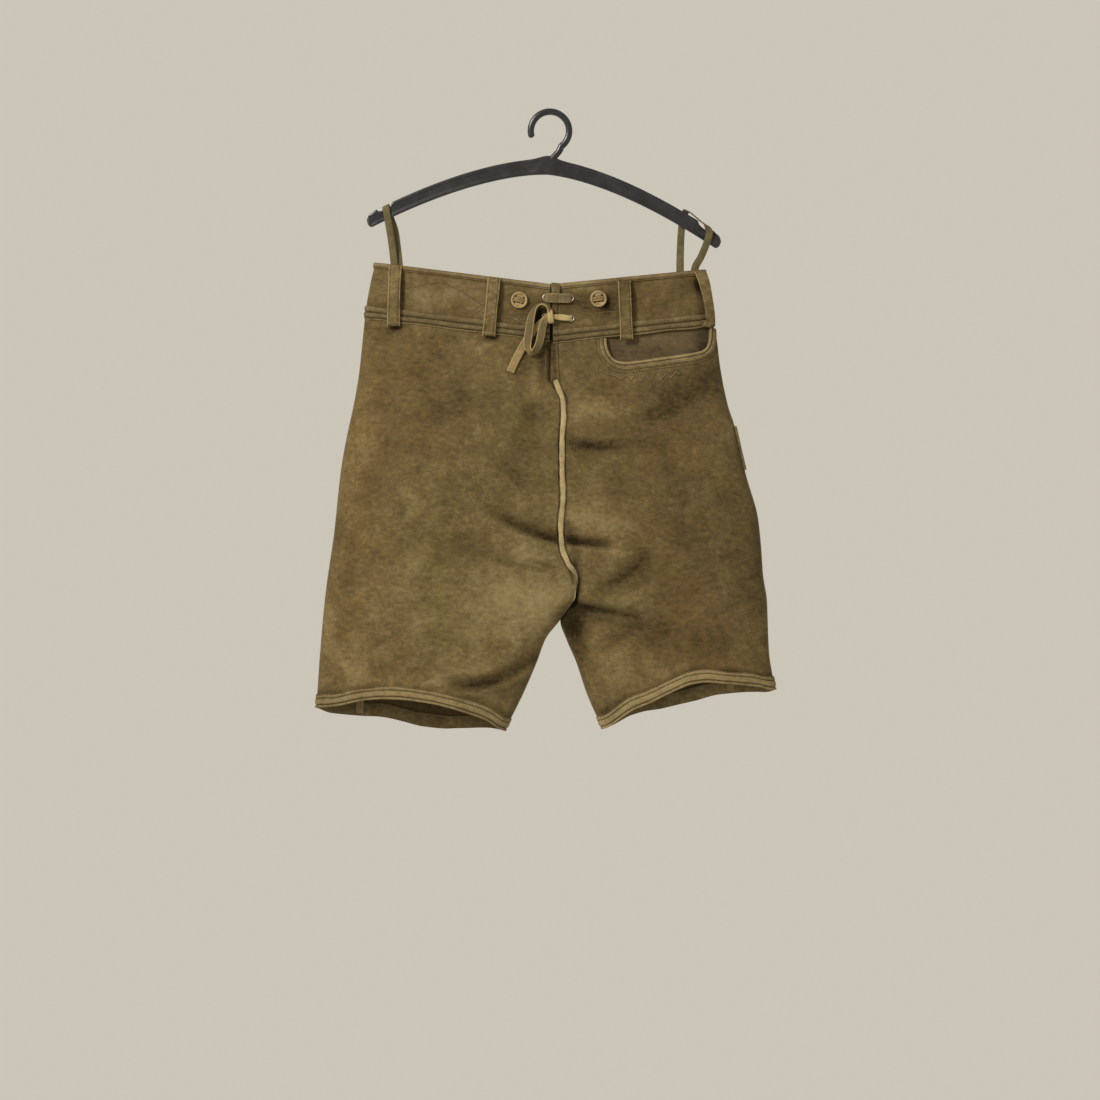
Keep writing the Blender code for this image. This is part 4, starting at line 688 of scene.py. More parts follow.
def share(drop, q):
    """Share s of column q: even columns up to the crown, then even angles to the fold."""
    crown = column(SECTIONS, CROWN, drop)
    close = column(SECTIONS, CLOSE, drop)
    angle = np.arcsin(np.clip(close, 0.02, 1.0) ** (ROUNDNESS / 2))
    a = np.clip(1 - q / INNER_SHARE, 0.0, 1.0)
    ratio = (np.sin(a * angle) / np.sin(angle)) ** (2 / ROUNDNESS)
    b = np.clip((q - INNER_SHARE) / (1 - INNER_SHARE), 0.0, 1.0)
    t = np.sin(b * math.pi / 2) ** (2 / ROUNDNESS)
    return np.where(q <= INNER_SHARE, crown * (1 - ratio), crown + (1 - crown) * t)


def wrap_column(side, drop, reach):
    """Column q that lies a given reach from the outer fold."""
    crown = column(SECTIONS, CROWN, drop)
    s = 1 - reach / np.abs(outer_x(side, drop) - inner_x(side, drop))
    t = np.clip((s - crown) / (1 - crown), 0.0, 1.0)
    return INNER_SHARE + (1 - INNER_SHARE) * np.arcsin(t ** (ROUNDNESS / 2)) * 2 / math.pi


def place(side, face, upper, lower, v, q):
    """Point at share v between two edges and column q, its drop and share s settled in turns."""
    s = np.broadcast_to(q, np.broadcast(v, q).shape)
    for _ in range(5):
        top = edge_drop(upper, side, face, s)
        drop = top + (edge_drop(lower, side, face, s) - top) * v
        s = share(drop, q)
    return skin(side, face, s, drop)


def tube_grid(side, part, upper, lower, v, columns):
    """Grid (rows, columns) over the back, front or whole tube of one half.

    The back runs round the outer fold to the side seam on the front; the front starts there.
    """
    v = np.atleast_1d(np.asarray(v, float))[:, None]
    back_count, wrap_count, front_count = columns
    fold = place(side, "back", upper, lower, v, np.array([[0.95]]))[..., 2]
    back = place(side, "back", upper, lower, v, np.linspace(0, 1, back_count)[None, :])
    wrap = 1 - np.linspace(0, 1, wrap_count)[None, 1:] * (1 - wrap_column(side, fold, WRAP))
    front = np.linspace(1, 0, front_count)[None, :] * wrap_column(side, fold, WRAP + GAP)
    wrap = place(side, "front", upper, lower, v, wrap)
    front = place(side, "front", upper, lower, v, front)
    pieces = {"back": (back, wrap), "front": (front,), "tube": (back, wrap, front[:, 1:])}[part]
    return np.concatenate(pieces, axis=1)


def grid_normals(grid, towards=None):
    """Outward unit normals of a grid: cross product of its central differences.

    Outward is away from the grid's middle, or to the side of a given vector.  Where the tube
    is closed, its first and last columns share their normals.
    """
    normal = np.cross(np.gradient(grid, axis=1), np.gradient(grid, axis=0))
    normal /= np.linalg.norm(normal, axis=2, keepdims=True) + 1e-12
    if towards is None:
        closed = np.linalg.norm(grid[:, 0] - grid[:, -1], axis=1) < 4 * GAP
        seam = normal[:, 0] + normal[:, -1]
        seam /= np.linalg.norm(seam, axis=1, keepdims=True) + 1e-12
        normal[closed, 0] = seam[closed]
        normal[closed, -1] = seam[closed]
        towards = grid - grid.mean(axis=(0, 1))
    return normal if np.sum(normal * towards) > 0 else -normal


def spot(face, x, drop, height=0.0):
    """Points of the skin at arrays of x and drop, moved out by a height, and their normals."""
    x, drop, height = np.broadcast_arrays(np.asarray(x, float), np.asarray(drop, float), height)
    x = np.clip(x, outer_x("left", drop) + 1.2, outer_x("right", drop) - 1.2)
    left = x < 0.5 * (inner_x("left", drop) + inner_x("right", drop))

    def at(dx, dd):
        points = {}
        for side in SIDES:
            d = drop + dd
            low = inner_x(side, d)
            far = outer_x(side, d)
            s = np.clip((x + dx - low) / (far - low), -0.3, 1.0)
            points[side] = between(side, low, far, face, s, d)
        return np.where(left[..., None], points["left"], points["right"])

    normal = np.cross(at(0.8, 0) - at(-0.8, 0), at(0, 0.8) - at(0, -0.8))
    normal /= np.linalg.norm(normal, axis=-1, keepdims=True) + 1e-12
    outward = -1.0 if face == "back" else 1.0
    normal = np.where(normal[..., 1:2] * outward < 0, -normal, normal)
    return at(0, 0) + normal * height[..., None], normal


def span(side, upper, lower):
    """Height between two edges at the centre seam."""
    return EDGES[lower + "_" + side][0] - EDGES[upper + "_" + side][0]


def column_counts(side, step=STEP):
    """Columns of the back, of its wrap and of the front, for a step in mm."""
    wide = ARC * PANEL_WIDTHS[side]
    return int(wide / step), int(WRAP_ARC * WRAP / step), int(FRONT_ARC * wide / step)


def skin_row(side, upper, lower, v):
    """One row round the skin, with its normals and its upward directions."""
    rows = v + np.array([-0.002, 0.0, 0.002])
    grid = tube_grid(side, "tube", upper, lower, rows, column_counts(side))
    normals = grid_normals(grid)[1]
    ups = grid[0] - grid[2]
    ups -= normals * np.sum(ups * normals, axis=1, keepdims=True)
    return grid[1], normals, ups / np.linalg.norm(ups, axis=1, keepdims=True)


# ---------------------------------------------------------------- meshes
def to_metres(points):
    """Points (x, y, drop) in mm as (x, y, z) in metres."""
    flat = np.reshape(points, (-1, 3)) * MM
    return flat * np.array([1.0, 1.0, -1.0])


def signed_volume(points, quads, caps):
    """Sum of a . (b x c) over the facets' triangles; negative when they point in."""
    a, b, c, d = (points[quads[:, i]] for i in range(4))
    total = np.sum(a * np.cross(b, c)) + np.sum(a * np.cross(c, d))
    for cap in caps:
        rim = points[cap]
        total += np.sum(rim[0] * np.cross(rim[1:-1], rim[2:]))
    return total


def new_piece(name, nodes, finish, points, quads, caps=(), values=None, smooth=40.0):
    """Object from points (mm), quads and end caps, with its finish and point values.

    It rides on the trousers and stands for its CAD nodes.
    """
    points = to_metres(points)
    if signed_volume(points, quads, caps) < 0:
        quads = quads[:, ::-1]
        caps = [cap[::-1] for cap in caps]
    material = finish_named(finish)
    mesh = bpy.data.meshes.new(name)
    mesh.from_pydata(points.tolist(), [], quads.tolist() + [list(cap) for cap in caps])
    for key, value in (values or {}).items():
        layer = mesh.attributes.new(key, "FLOAT", "POINT")
        layer.data.foreach_set("value", np.ravel(value).astype(np.float32))
    mesh.materials.append(material)
    mesh.shade_smooth()
    mesh.set_sharp_from_angle(angle=math.radians(smooth))
    piece = bpy.data.objects.new(name, mesh)
    bpy.context.scene.collection.objects.link(piece)
    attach(piece, "root")
    if nodes:
        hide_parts(*nodes)
    return piece


def grid_quads(rows, columns, ring_rows=False, ring_columns=False):
    """Quads of a grid, closed on itself where it is a ring."""
    r = np.arange(rows if ring_rows else rows - 1)[:, None]
    c = np.arange(columns if ring_columns else columns - 1)[None, :]
    low = r * columns
    high = (r + 1) % rows * columns
    near = c
    far = (c + 1) % columns
    return np.stack([low + near, low + far, high + far, high + near], axis=-1).reshape(-1, 4)


def end_caps(rows, size, start=0):
    """Facets that close the first and the last ring of a tube."""
    last = start + (rows - 1) * size
    return [list(range(start, start + size))[::-1], list(range(last, last + size))]


def wall_quads(rows, columns, keep):
    """Quads of a wall: outer cells, the inner ones turned over, and the rim of the kept cells."""
    index = np.arange(rows * columns).reshape(rows, columns)
    lift = rows * columns
    cells = np.stack([index[:-1, :-1], index[:-1, 1:], index[1:, 1:], index[1:, :-1]], axis=-1)
    kept = np.pad(keep, 1)
    quads = [cells[keep], cells[keep][:, ::-1] + lift]
    flat = (index[:, :-1], index[:, 1:], kept[:-1, 1:-1], kept[1:, 1:-1])
    upright = (index[1:, :], index[:-1, :], kept[1:-1, :-1], kept[1:-1, 1:])
    for a, b, before, after in (flat, upright):
        only_after = after & ~before
        only_before = before & ~after
        first = np.stack([b, a, a + lift, b + lift], axis=-1)
        quads += [first[only_after], first[only_before][:, ::-1]]
    return np.concatenate(quads)


def sheet(name, nodes, finish, grid, normals, wall, values, keep=None, cut=None):
    """Closed wall of leather from a grid inwards, over the kept cells.

    It is declared by the cut of what shows of it: mean arc lengths and summed cells.
    """
    rows, columns = grid.shape[:2]
    if keep is None:
        keep = np.ones((rows - 1, columns - 1), bool)
    points = np.concatenate([grid.reshape(-1, 3), (grid - normals * wall).reshape(-1, 3)])
    used, quads = np.unique(wall_quads(rows, columns, keep), return_inverse=True)
    doubled = {
        key: np.tile(np.ravel(np.broadcast_to(value, (rows, columns))), 2)[used]
        for key, value in values.items()
    }
    doubled["inside"] = (used >= rows * columns).astype(float)
    piece = new_piece(name, nodes, finish, points[used], quads.reshape(-1, 4), (), doubled)
    cut = grid if cut is None else cut
    cells = np.cross(cut[1:, 1:] - cut[:-1, :-1], cut[:-1, 1:] - cut[1:, :-1])


def directions(centres, ring=False):
    """Unit tangents along a line of points."""
    if ring:
        step = np.roll(centres, -1, axis=0) - np.roll(centres, 1, axis=0)
    else:
        step = np.gradient(centres, axis=0)
    return step / (np.linalg.norm(step, axis=1, keepdims=True) + 1e-12)


def framed(centres, sides, towards=None, ring=False):
    """A path with its out directions, turned towards a vector, and its sides made square to it."""
    along = directions(centres, ring)
    sides = sides - along * np.sum(sides * along, axis=1, keepdims=True)
    sides = sides / np.linalg.norm(sides, axis=1, keepdims=True)
    outs = np.cross(sides, along)
    if towards is not None:
        outs *= np.sign(np.sum(outs * towards, axis=1, keepdims=True))
    return centres, outs, sides


def crossed(centres, outs):
    """A path with its out directions, and its sides across both."""
    return centres, outs, np.cross(directions(centres), outs)


def sweep(name, nodes, finish, slot, path, profile, ring=False, relief=0.0, shades=0.0, **values):
    """Profile (side, out) carried along a path: centre + side * a + out * b.

    The profile is one outline, or an array of one outline for each station.  The tone is
    relief * (b - 1.35), so that grooves are darker than ridges, plus a shade for each point of
    the profile; other values go by station.
    """
    centres, outs, sides = path
    profile = np.asarray(profile, float)
    if profile.ndim == 2:
        profile = np.broadcast_to(profile, (len(centres),) + profile.shape)
    points = centres[:, None] + sides[:, None] * profile[..., :1] + outs[:, None] * profile[..., 1:]
    count, size = profile.shape[:2]
    quads = grid_quads(count, size, ring_rows=ring, ring_columns=True)
    reach = np.abs(profile[..., 0]).max(axis=1, keepdims=True)
    run = np.linalg.norm(np.diff(centres, axis=0, prepend=centres[:1]), axis=1).cumsum() * MM
    stations = {key: np.asarray(value)[..., None] for key, value in values.items()}
    ridges = np.clip(profile[..., 1] - 1.35, -1.2, 0.8)
    stations.update({
        "across": profile[..., 0] / reach,
        "along": run[:, None],
        "tone": stations.get("tone", 0.0) + relief * ridges + shades,
        "underside": (profile[..., 1] < 0) * 1.0,
    })
    every = {key: np.broadcast_to(value, profile.shape[:2]) for key, value in stations.items()}
    caps = [] if ring else end_caps(count, size)
    return new_piece(name, nodes, finish, points.reshape(-1, 3), quads, caps, every)


def strap_section(width, wall, count=20, squareness=5.0):
    """Superellipse outline: |a / (w/2)|^n + |b / (t/2)|^n = 1."""
    turn = (np.arange(count) + 0.5) / count * 2 * math.pi
    a, b = (
        np.sign(wave) * np.abs(wave) ** (2 / squareness) * np.asarray(size)[..., None] / 2
        for wave, size in ((np.cos(turn), width), (np.sin(turn), wall)))
    return np.stack(np.broadcast_arrays(a, b), axis=-1)


def uneven(profile, count, amount, pitch):
    """A profile for each of the stations, its size swaying by an amount."""
    size = 1 + amount * np.sin(np.arange(count) / pitch)
    return np.asarray(profile)[None] * size[:, None, None]


def smooth_path(points, per_span):
    """Catmull-Rom curve through hand-placed rows, as one array expression."""
    p = np.asarray(points, float)
    p = np.vstack([2 * p[0] - p[1], p, 2 * p[-1] - p[-2]])
    t = (np.arange(per_span) / per_span)[None, :, None]
    p0, p1, p2, p3 = p[:-3, None], p[1:-2, None], p[2:-1, None], p[3:, None]
    curve = 0.5 * (2 * p1 + (p2 - p0) * t + (2 * p0 - 5 * p1 + 4 * p2 - p3) * t ** 2
                   + (p3 - p0 - 3 * p2 + 3 * p1) * t ** 3)
    return np.vstack([curve.reshape(-1, p.shape[1]), p[-2]])


def resample(points, extra, pitch):
    """A line and the values beside it, at an even pitch along the line."""
    run = np.concatenate([[0.0], np.linalg.norm(np.diff(points, axis=0), axis=1).cumsum()])
    count = max(2, int(round(run[-1] / pitch)) + 1)
    at = np.linspace(0, run[-1], count)
    pick = [np.interp(at, run, points[:, k]) for k in range(3)]
    beside = [np.interp(at, run, extra[:, k]) for k in range(3)]
    beside = np.stack(beside, axis=1)
    return np.stack(pick, axis=1), beside / (np.linalg.norm(beside, axis=1, keepdims=True) + 1e-9)


def turned_grid(profile, steps):
    """Turned surface (profile, turn) about the third axis: (r cos t, r sin t, height)."""
    turn = np.arange(steps) / steps * 2 * math.pi
    radius, height = np.asarray(profile, float).T
    ring = np.stack([np.cos(turn), np.sin(turn), np.zeros(steps)], axis=-1)
    return ring[None] * radius[:, None, None] + np.array([0, 0, 1.0]) * height[:, None, None]


def stand(points, centre, normal, turn=0.0):
    """Local points (across, down, out) put on a point of the skin, turned about its normal."""
    down = np.array([0.0, 0.0, 1.0]) - normal * normal[2]
    down /= np.linalg.norm(down)
    across = np.cross(down, normal)
    across *= np.sign(across[0])
    c = math.cos(math.radians(turn))
    s = math.sin(math.radians(turn))
    x = points[..., 0] * c - points[..., 1] * s
    y = points[..., 0] * s + points[..., 1] * c
    return centre + x[..., None] * across + y[..., None] * down + points[..., 2:] * normal


# ---------------------------------------------------------------- finishes
class Maths:
    """A shader value with arithmetic: each operator adds one Math node."""

    def __init__(self, finish, socket):
        self.finish = finish
        self.socket = socket

    def _do(self, operation, *values):
        made = self.finish.node("ShaderNodeMath", {"operation": operation}, dict(enumerate(values)))
        return Maths(self.finish, made.outputs[0])

    def __add__(self, other):
        return self._do("ADD", self, other)

    __radd__ = __add__

    def __sub__(self, other):
        return self._do("SUBTRACT", self, other)

    def __rsub__(self, other):
        return self._do("SUBTRACT", other, self)

    def __mul__(self, other):
        return self._do("MULTIPLY", self, other)

    __rmul__ = __mul__

    def __abs__(self):
        return self._do("ABSOLUTE", self)

    def between(self, low, high):
        """Smooth step from 0 at low to 1 at high."""
        settings = {"interpolation_type": "SMOOTHSTEP"}
        made = self.finish.node("ShaderNodeMapRange", settings, {0: self, 1: low, 2: high})
        return Maths(self.finish, made.outputs[0])


class Finish:
    """Node tree of one finish, built by plain calls."""

    def __init__(self, name, **constants):
        self.material = bpy.data.materials.new(name)
        self.material.use_nodes = True
        self.tree = self.material.node_tree
        self.shader = self.tree.nodes["Principled BSDF"]
        for key, value in constants.items():
            socket = key.replace("_", " ").title().replace("Ior", "IOR")
            self.shader.inputs[socket].default_value = value
        self.place = self.node("ShaderNodeTexCoord").outputs["Object"]

    def node(self, kind, settings=None, inputs=None):
        """A node with its settings, then the values or links of its sockets."""
        made = self.tree.nodes.new(kind)
        for key, value in (settings or {}).items():
            setattr(made, key, value)
        for key, value in (inputs or {}).items():
            self.join(made.inputs[key], value)
        return made

    def join(self, target, value):
        """Link a socket, or set its plain value."""
        value = getattr(value, "socket", value)
        if isinstance(value, bpy.types.NodeSocket):
            self.tree.links.new(value, target)
        else:
            target.default_value = value

    def noise(self, scale, detail=3.0, roughness=0.55, vector=None, distortion=0.0):
        inputs = {
            "Vector": vector or self.place, "Scale": scale, "Detail": detail,
            "Roughness": roughness, "Distortion": distortion,
        }
        return Maths(self, self.node("ShaderNodeTexNoise", None, inputs).outputs[0])

    def stretched(self, scale, turn=(0.0, 0.0, 0.0)):
        """Object coordinates turned, with their axes scaled apart."""
        inputs = {"Vector": self.place, "Scale": scale, "Rotation": turn}
        return self.node("ShaderNodeMapping", None, inputs).outputs[0]

    def value(self, name):
        """A value that the mesh carries at its points."""
        made = self.node("ShaderNodeAttribute", {"attribute_name": name})
        return Maths(self, made.outputs["Fac"])

    def ramp(self, value, stops):
        """Colour along hand-set stops (place, colour)."""
        made = self.node("ShaderNodeValToRGB", None, {0: value})
        bar = made.color_ramp.elements
        while len(bar) < len(stops):
            bar.new(0.5)
        for element, (at, colour) in zip(bar, stops):
            element.position = at
            element.color = (*colour[:3], 1.0)
        return made.outputs[0]

    def blend(self, mask, low, high, kind="MIX"):
        """Mix of two colours by a mask."""
        low, high = (side if hasattr(side, "node") else (*side[:3], 1.0) for side in (low, high))
        settings = {"data_type": "RGBA", "blend_type": kind}
        return self.node("ShaderNodeMix", settings, {0: mask, 6: low, 7: high}).outputs[2]

    def dress(self, colour, roughness, *bumps):
        """Colour and roughness of the finish, and a chain of bumps.

        Each bump is a height, a strength and a distance in metres.
        """
        self.join(self.shader.inputs["Base Color"], colour)
        self.join(self.shader.inputs["Roughness"], roughness)
        normal = None
        for height, strength, distance in bumps:
            inputs = {"Height": height, "Strength": strength, "Distance": distance}
            if normal:
                inputs["Normal"] = normal
            normal = self.node("ShaderNodeBump", None, inputs).outputs[0]
        if normal:
            self.join(self.shader.inputs["Normal"], normal)


def scaled(colour, share):
    """A colour made darker or lighter by a share."""
    return tuple(share * value for value in colour[:3])


def suede(name, dark, middle, light, moss=0.0, contrast=1.0, wear=0.0):
    """Brushed leather: five shades over noises of five sizes, hand-placed shades and moss.

    shade = middle + tone + a(cloud) + b(blotch) + c(brushing) + d(mottle) + e(nap); the brushing
    runs in short slanting streaks, and the inner side is darker.
    """
    colours = bpy.context.scene.leather_colours
    finish = Finish(name, sheen_weight=0.07, sheen_roughness=0.5, specular_ior_level=0.09)
    finish.shader.inputs["Sheen Tint"].default_value = (1.0, 0.93, 0.78, 1.0)
    cloud = finish.noise(9.0, 2.0)
    blotch = finish.noise(34.0, 3.0, 0.55, distortion=0.5)
    streaks = finish.stretched((0.55, 1.0, 1.0), (0.0, 0.35, 0.0))
    brushed = finish.noise(230.0, 3.0, 0.62, streaks, 0.6)
    mottle = finish.noise(170.0, 4.0, 0.65)
    nap = finish.noise(1300.0, 2.0, 0.6)
    wrinkle = finish.noise(60.0, 4.0, 0.6, finish.stretched((1.0, 1.0, 2.6)), 0.6)
    tone = finish.value("tone")
    parts = 0.6 * (cloud - 0.5) + 0.75 * (blotch - 0.5) + 0.8 * (brushed - 0.5)
    parts = parts + 0.7 * (mottle - 0.5) + 0.6 * (nap - 0.5)
    shade = 0.5 + 0.6 * (tone + contrast * parts)
    # The deepest stop paints the shadows of the crotch and the darkest creases, and the palest stop
    # paints the most brightly lit leather
    deep = (0.3 * dark[0], 0.27 * dark[1], 0.12 * dark[2])
    pale = scaled(light, 1.35)
    stops = ((0.0, deep), (0.2, dark), (0.5, middle), (0.8, light), (1.0, pale))
    colour = finish.ramp(shade, stops)
    if moss:
        patch = finish.noise(16.0, 3.0, 0.6, distortion=0.4)
        green = patch.between(0.5, 0.72) * 0.5 + finish.value("moss")
        green = moss * green * mottle.between(0.25, 0.7)
        rusty = patch.between(0.5, 0.3) * 0.6 - finish.value("moss")
        rusty = moss * rusty * mottle.between(0.2, 0.65)
        mossy = finish.blend(0.8, colour, colours.moss, "MULTIPLY")
        colour = finish.blend(green, colour, mossy)
        rust = finish.blend(0.8, colour, colours.rust, "MULTIPLY")
        colour = finish.blend(rusty, colour, rust)
    if wear:
        edge = abs(finish.value("across")).between(0.8, 0.96) * wear * mottle.between(0.2, 0.6)
        colour = finish.blend(edge, colour, light)
    rough_side = finish.blend(mottle, colours.inside_dark, colours.inside)
    colour = finish.blend(finish.value("inside"), colour, rough_side)
    finish.dress(
        colour, 0.97 - 0.14 * mottle,
        (wrinkle, 0.5, 0.0014), (brushed, 0.3, 0.0006), (mottle, 0.4, 0.0007), (nap, 0.5, 0.0002))


def thong_leather(name, colour, edge, back=None, cream=None):
    """Laced thong: lighter cut edges, fine grain, and a darker flesh side.

    The rubbed stretches are cream, by the value "rubbed" that goes along the thong.
    """
    finish = Finish(name, specular_ior_level=0.25, sheen_weight=0.1)
    grain = finish.noise(420.0, 3.0, 0.6)
    stain = finish.noise(90.0, 3.0, 0.6)
    base = finish.blend((stain + 0.35 * grain).between(0.42, 0.9), scaled(colour, 0.58), colour)
    if back:
        # The value "flesh" paints shade: strands turned from the light take the flesh side's colour
        flesh = finish.value("underside") + finish.value("flesh")
        base = finish.blend(flesh.between(0.0, 1.0), base, back)
    rim = abs(finish.value("across")).between(0.78, 0.95)
    base = finish.blend(rim * 0.85, base, edge)
    if cream:
        rubbed = finish.value("rubbed") * (0.75 + 0.25 * stain.between(0.35, 0.6))
        base = finish.blend(rubbed, base, cream)
    finish.dress(base, 0.86 - 0.2 * grain, (stain, 0.3, 0.0006), (grain, 0.5, 0.0003))


def sewing_thread(name, colour):
    """Twisted thread: fine plies and uneven wear."""
    finish = Finish(name, specular_ior_level=0.3)
    wear = finish.noise(240.0, 2.0)
    worn = finish.blend(wear.between(0.35, 0.7), scaled(colour, 0.6), colour)
    finish.dress(worn, 0.7 + 0.2 * wear, (finish.noise(2600.0, 1.0), 0.5, 0.0002))


def pressed_leather(name, colour):
    """Buttons of pressed hide: warm tan with dark specks and a soft polish."""
    finish = Finish(name, coat_weight=0.08, coat_roughness=0.4)
    grain = finish.noise(330.0, 4.0, 0.65)
    stain = finish.noise(130.0, 3.0, 0.6)
    specks = (0.7 * stain + 0.4 * grain).between(0.34, 0.62)
    specked = finish.blend(specks, scaled(colour, 0.45), colour)
    finish.dress(specked, 0.5 + 0.25 * grain, (stain, 0.4, 0.0006), (grain, 0.4, 0.0003))


def old_metal(name):
    """Worn nickel over brass of the eyelets."""
    finish = Finish(name, metallic=1.0)
    wear = finish.noise(900.0, 3.0)
    worn = finish.blend(wear.between(0.4, 0.62), (0.62, 0.58, 0.5), (0.36, 0.27, 0.15))
    finish.dress(worn, 0.24 + 0.3 * wear, (wear, 0.2, 0.0001))


def moulded_plastic(name):
    """Black plastic with a fine moulded haze and dull scuffs."""
    finish = Finish(name, specular_ior_level=0.5)
    haze = finish.noise(60.0, 4.0, 0.6)
    scuff = finish.noise(380.0, 2.0, 0.6, finish.stretched((0.15, 1.0, 1.0)))
    black = finish.blend(haze.between(0.4, 0.7), (0.008, 0.008, 0.009), (0.016, 0.016, 0.018))
    finish.dress(black, 0.2 + 0.12 * haze + 0.1 * scuff, (scuff, 0.06, 0.0002))


def deep_shade(name):
    """Dark of a thong's hole."""
    finish = Finish(name, specular_ior_level=0.1)
    grain = finish.noise(700.0, 2.0)
    finish.dress(finish.blend(grain, (0.01, 0.007, 0.004), (0.03, 0.02, 0.011)), 0.9 + 0.05 * grain)


# Finishes: maker, its colours' names, other settings
FINISHES = {
    "body_suede": (suede, "suede_dark suede suede_light", {"moss": 0.8}),
    "band_suede": (suede, "band_dark band band_light", {"moss": 0.12, "contrast": 0.9}),
    "facing_suede": (suede, "facing_dark facing facing_light", {"contrast": 0.8}),
    "trim_suede": (suede, "trim_dark trim trim_light", {"contrast": 0.8, "wear": 0.35}),
    "loop_suede": (suede, "band_dark loop trim_light", {"contrast": 0.9, "wear": 1.0}),
    "pale_thong": (thong_leather, "thong thong_edge thong_back thong_cream", {}),
    # The piping's dark sides paint the shade of the seam beside it
    "piping_leather": (thong_leather, "piping piping_dark", {}),
    "grey_thong": (thong_leather, "thong_grey trim_light", {}),
    "strap_leather": (thong_leather, "strap strap_edge", {}),
    "tan_thread": (sewing_thread, "thread", {}),
    "dark_thread": (sewing_thread, "thread_dark", {}),
    "dim_thread": (sewing_thread, "thread_dim", {}),
    "pale_thread": (sewing_thread, "thread_pale", {}),
    "button_hide": (pressed_leather, "button", {}),
    "eyelet_nickel": (old_metal, "", {}),
    "hanger_plastic": (moulded_plastic, "", {}),
    "hole_shade": (deep_shade, "", {}),
}


def finish_named(name):
    """The shared finish of a name, made the first time it is asked for."""
    if name not in bpy.data.materials:
        make, colours, settings = FINISHES[name]
        palette = bpy.context.scene.leather_colours
        make(name, *(getattr(palette, key) for key in colours.split()), **settings)
    return bpy.data.materials[name]


# ---------------------------------------------------------------- pieces
def shade_values(side, faces, grid, extra=0.0):
    """Hand-placed shades of a grid's points: tone (light is +) and moss.

    The folds' narrow cores are darker, and so is the leather beside and below the belt loops.
    """
    x = grid[..., 0]
    drop = grid[..., 2]
    back = faces[None, :] * np.ones(x.shape)
    values = {
        key: np.where(back > 0, patches(table["back"], x, drop), patches(table["front"], x, drop))
        for key, table in (("tone", SHADES), ("moss", MOSSES))
    }
    # Painted shade in the folds' cores, and painted shade and highlights along the creases
    deep = [folds(side, face, x, drop, CORE) for face in ("back", "front")]
    deep = np.where(back > 0, *deep)
    creases = np.where(back > 0, crease_shades(side, "back", x, drop), 0.0)
    values["tone"] = values["tone"] - CORE_SHADE * np.clip(deep, 0, 8) + creases + extra
    # Painted shadows below and beside each belt loop
    for face, top_x, top, low_x, low in BELT_LOOPS.values():
        lean = math.degrees(math.atan2(low - top, low_x - top_x))
        places = (low_x, low, 0), ((top_x + low_x) / 2, (top + low) / 2, lean)
        below, beside = (
            amount * bell(x, drop, at_x + over, at_drop + under, along, across, turn)
            for (over, under, along, across, amount), (at_x, at_drop, turn)
            in zip((BELOW_LOOP, BESIDE_LOOP), places))
        on_face = back if face == "back" else 1 - back
        values["tone"] = values["tone"] - on_face * (below + beside)
    return values


def scoop_line(inset):
    """The pocket mouth's outline (x, drop): a smooth path, moved out by an inset."""
    line = smooth_path(SCOOP, 7)
    run = np.gradient(line, axis=0)
    run /= np.linalg.norm(run, axis=1, keepdims=True)
    return line + inset * np.stack([-run[:, 1], run[:, 0]], axis=1)


def in_scoop(x, drop, inset):
    """Whether points lie inside the mouth: their lines across it cross its outline oddly."""
    line = scoop_line(inset)
    top = EDGES["waist_right"][1]
    line = np.concatenate([[(line[0, 0], top)], line, [(line[-1, 0], top)]])
    inside = np.zeros(x.shape, bool)
    for (x0, d0), (x1, d1) in zip(line, np.roll(line, -1, axis=0)):
        if d0 != d1:
            inside ^= ((d0 > drop) != (d1 > drop)) & (x < x0 + (x1 - x0) * (drop - d0) / (d1 - d0))
    return inside


def build_panels():
    """Four body panels as walls of leather; the right back one has the pocket's mouth."""
    cut = bpy.context.scene.leather_cut
    step = cut.step / MM
    for side in SIDES:
        counts = column_counts(side, step)
        long = span(side, "seam", "hem")
        v = np.linspace(GAP / long, 1 - 3 * GAP / long, int(long / step))
        tube = grid_normals(tube_grid(side, "tube", "seam", "hem", v, counts))
        wide = counts[0] + counts[1] - 1
        up, reach, amount = NEAR_HEM
        near_hem = amount * np.exp(-(((1 - v) * long - up) / reach) ** 2)[:, None]
        for part in ("back", "front"):
            grid = tube_grid(side, part, "seam", "hem", v, counts)
            normals = tube[:, :wide] if part == "back" else tube[:, wide - 1:]
            faces = (np.arange(grid.shape[1]) < counts[0]) * float(part == "back")
            drop = grid[..., 2]
            beside = np.abs(grid[..., 0] - inner_x(side, drop))
            # Painted light and shadow beside the crotch, and painted shade in the seam's grooves
            by_crotch = patches(CROTCH_SHADES[side], beside, drop)
            by_seam = sum(
                amount * np.exp(-((beside - away) / width) ** 2) * (drop < low) * (drop > top)
                for away, width, top, low, amount in SEAM_SHADES)
            keep = None
            if (part, side) == ("back", "right"):
                centre = 0.25 * (grid[1:, 1:] + grid[:-1, 1:] + grid[1:, :-1] + grid[:-1, :-1])
                keep = ~(in_scoop(centre[..., 0], centre[..., 2], -0.6) & (faces[None, 1:] > 0))
            sheet(
                "{}_panel_{}".format(part, side), [part + "_" + side], "body_suede",
                grid, normals, cut.wall / MM,
                shade_values(side, faces, grid, near_hem + (by_crotch + by_seam) * faces), keep)


def welt_row(side, flap):
    """Middle line of the double welt, left open between bounds at the front's flap."""
    path = skin_row(side, "seam", "hem", WELT_DROP / span(side, "seam", "hem"))
    x, y, _ = path[0].T
    return [part[(y < 0) | (np.abs(x) > flap)] for part in path]


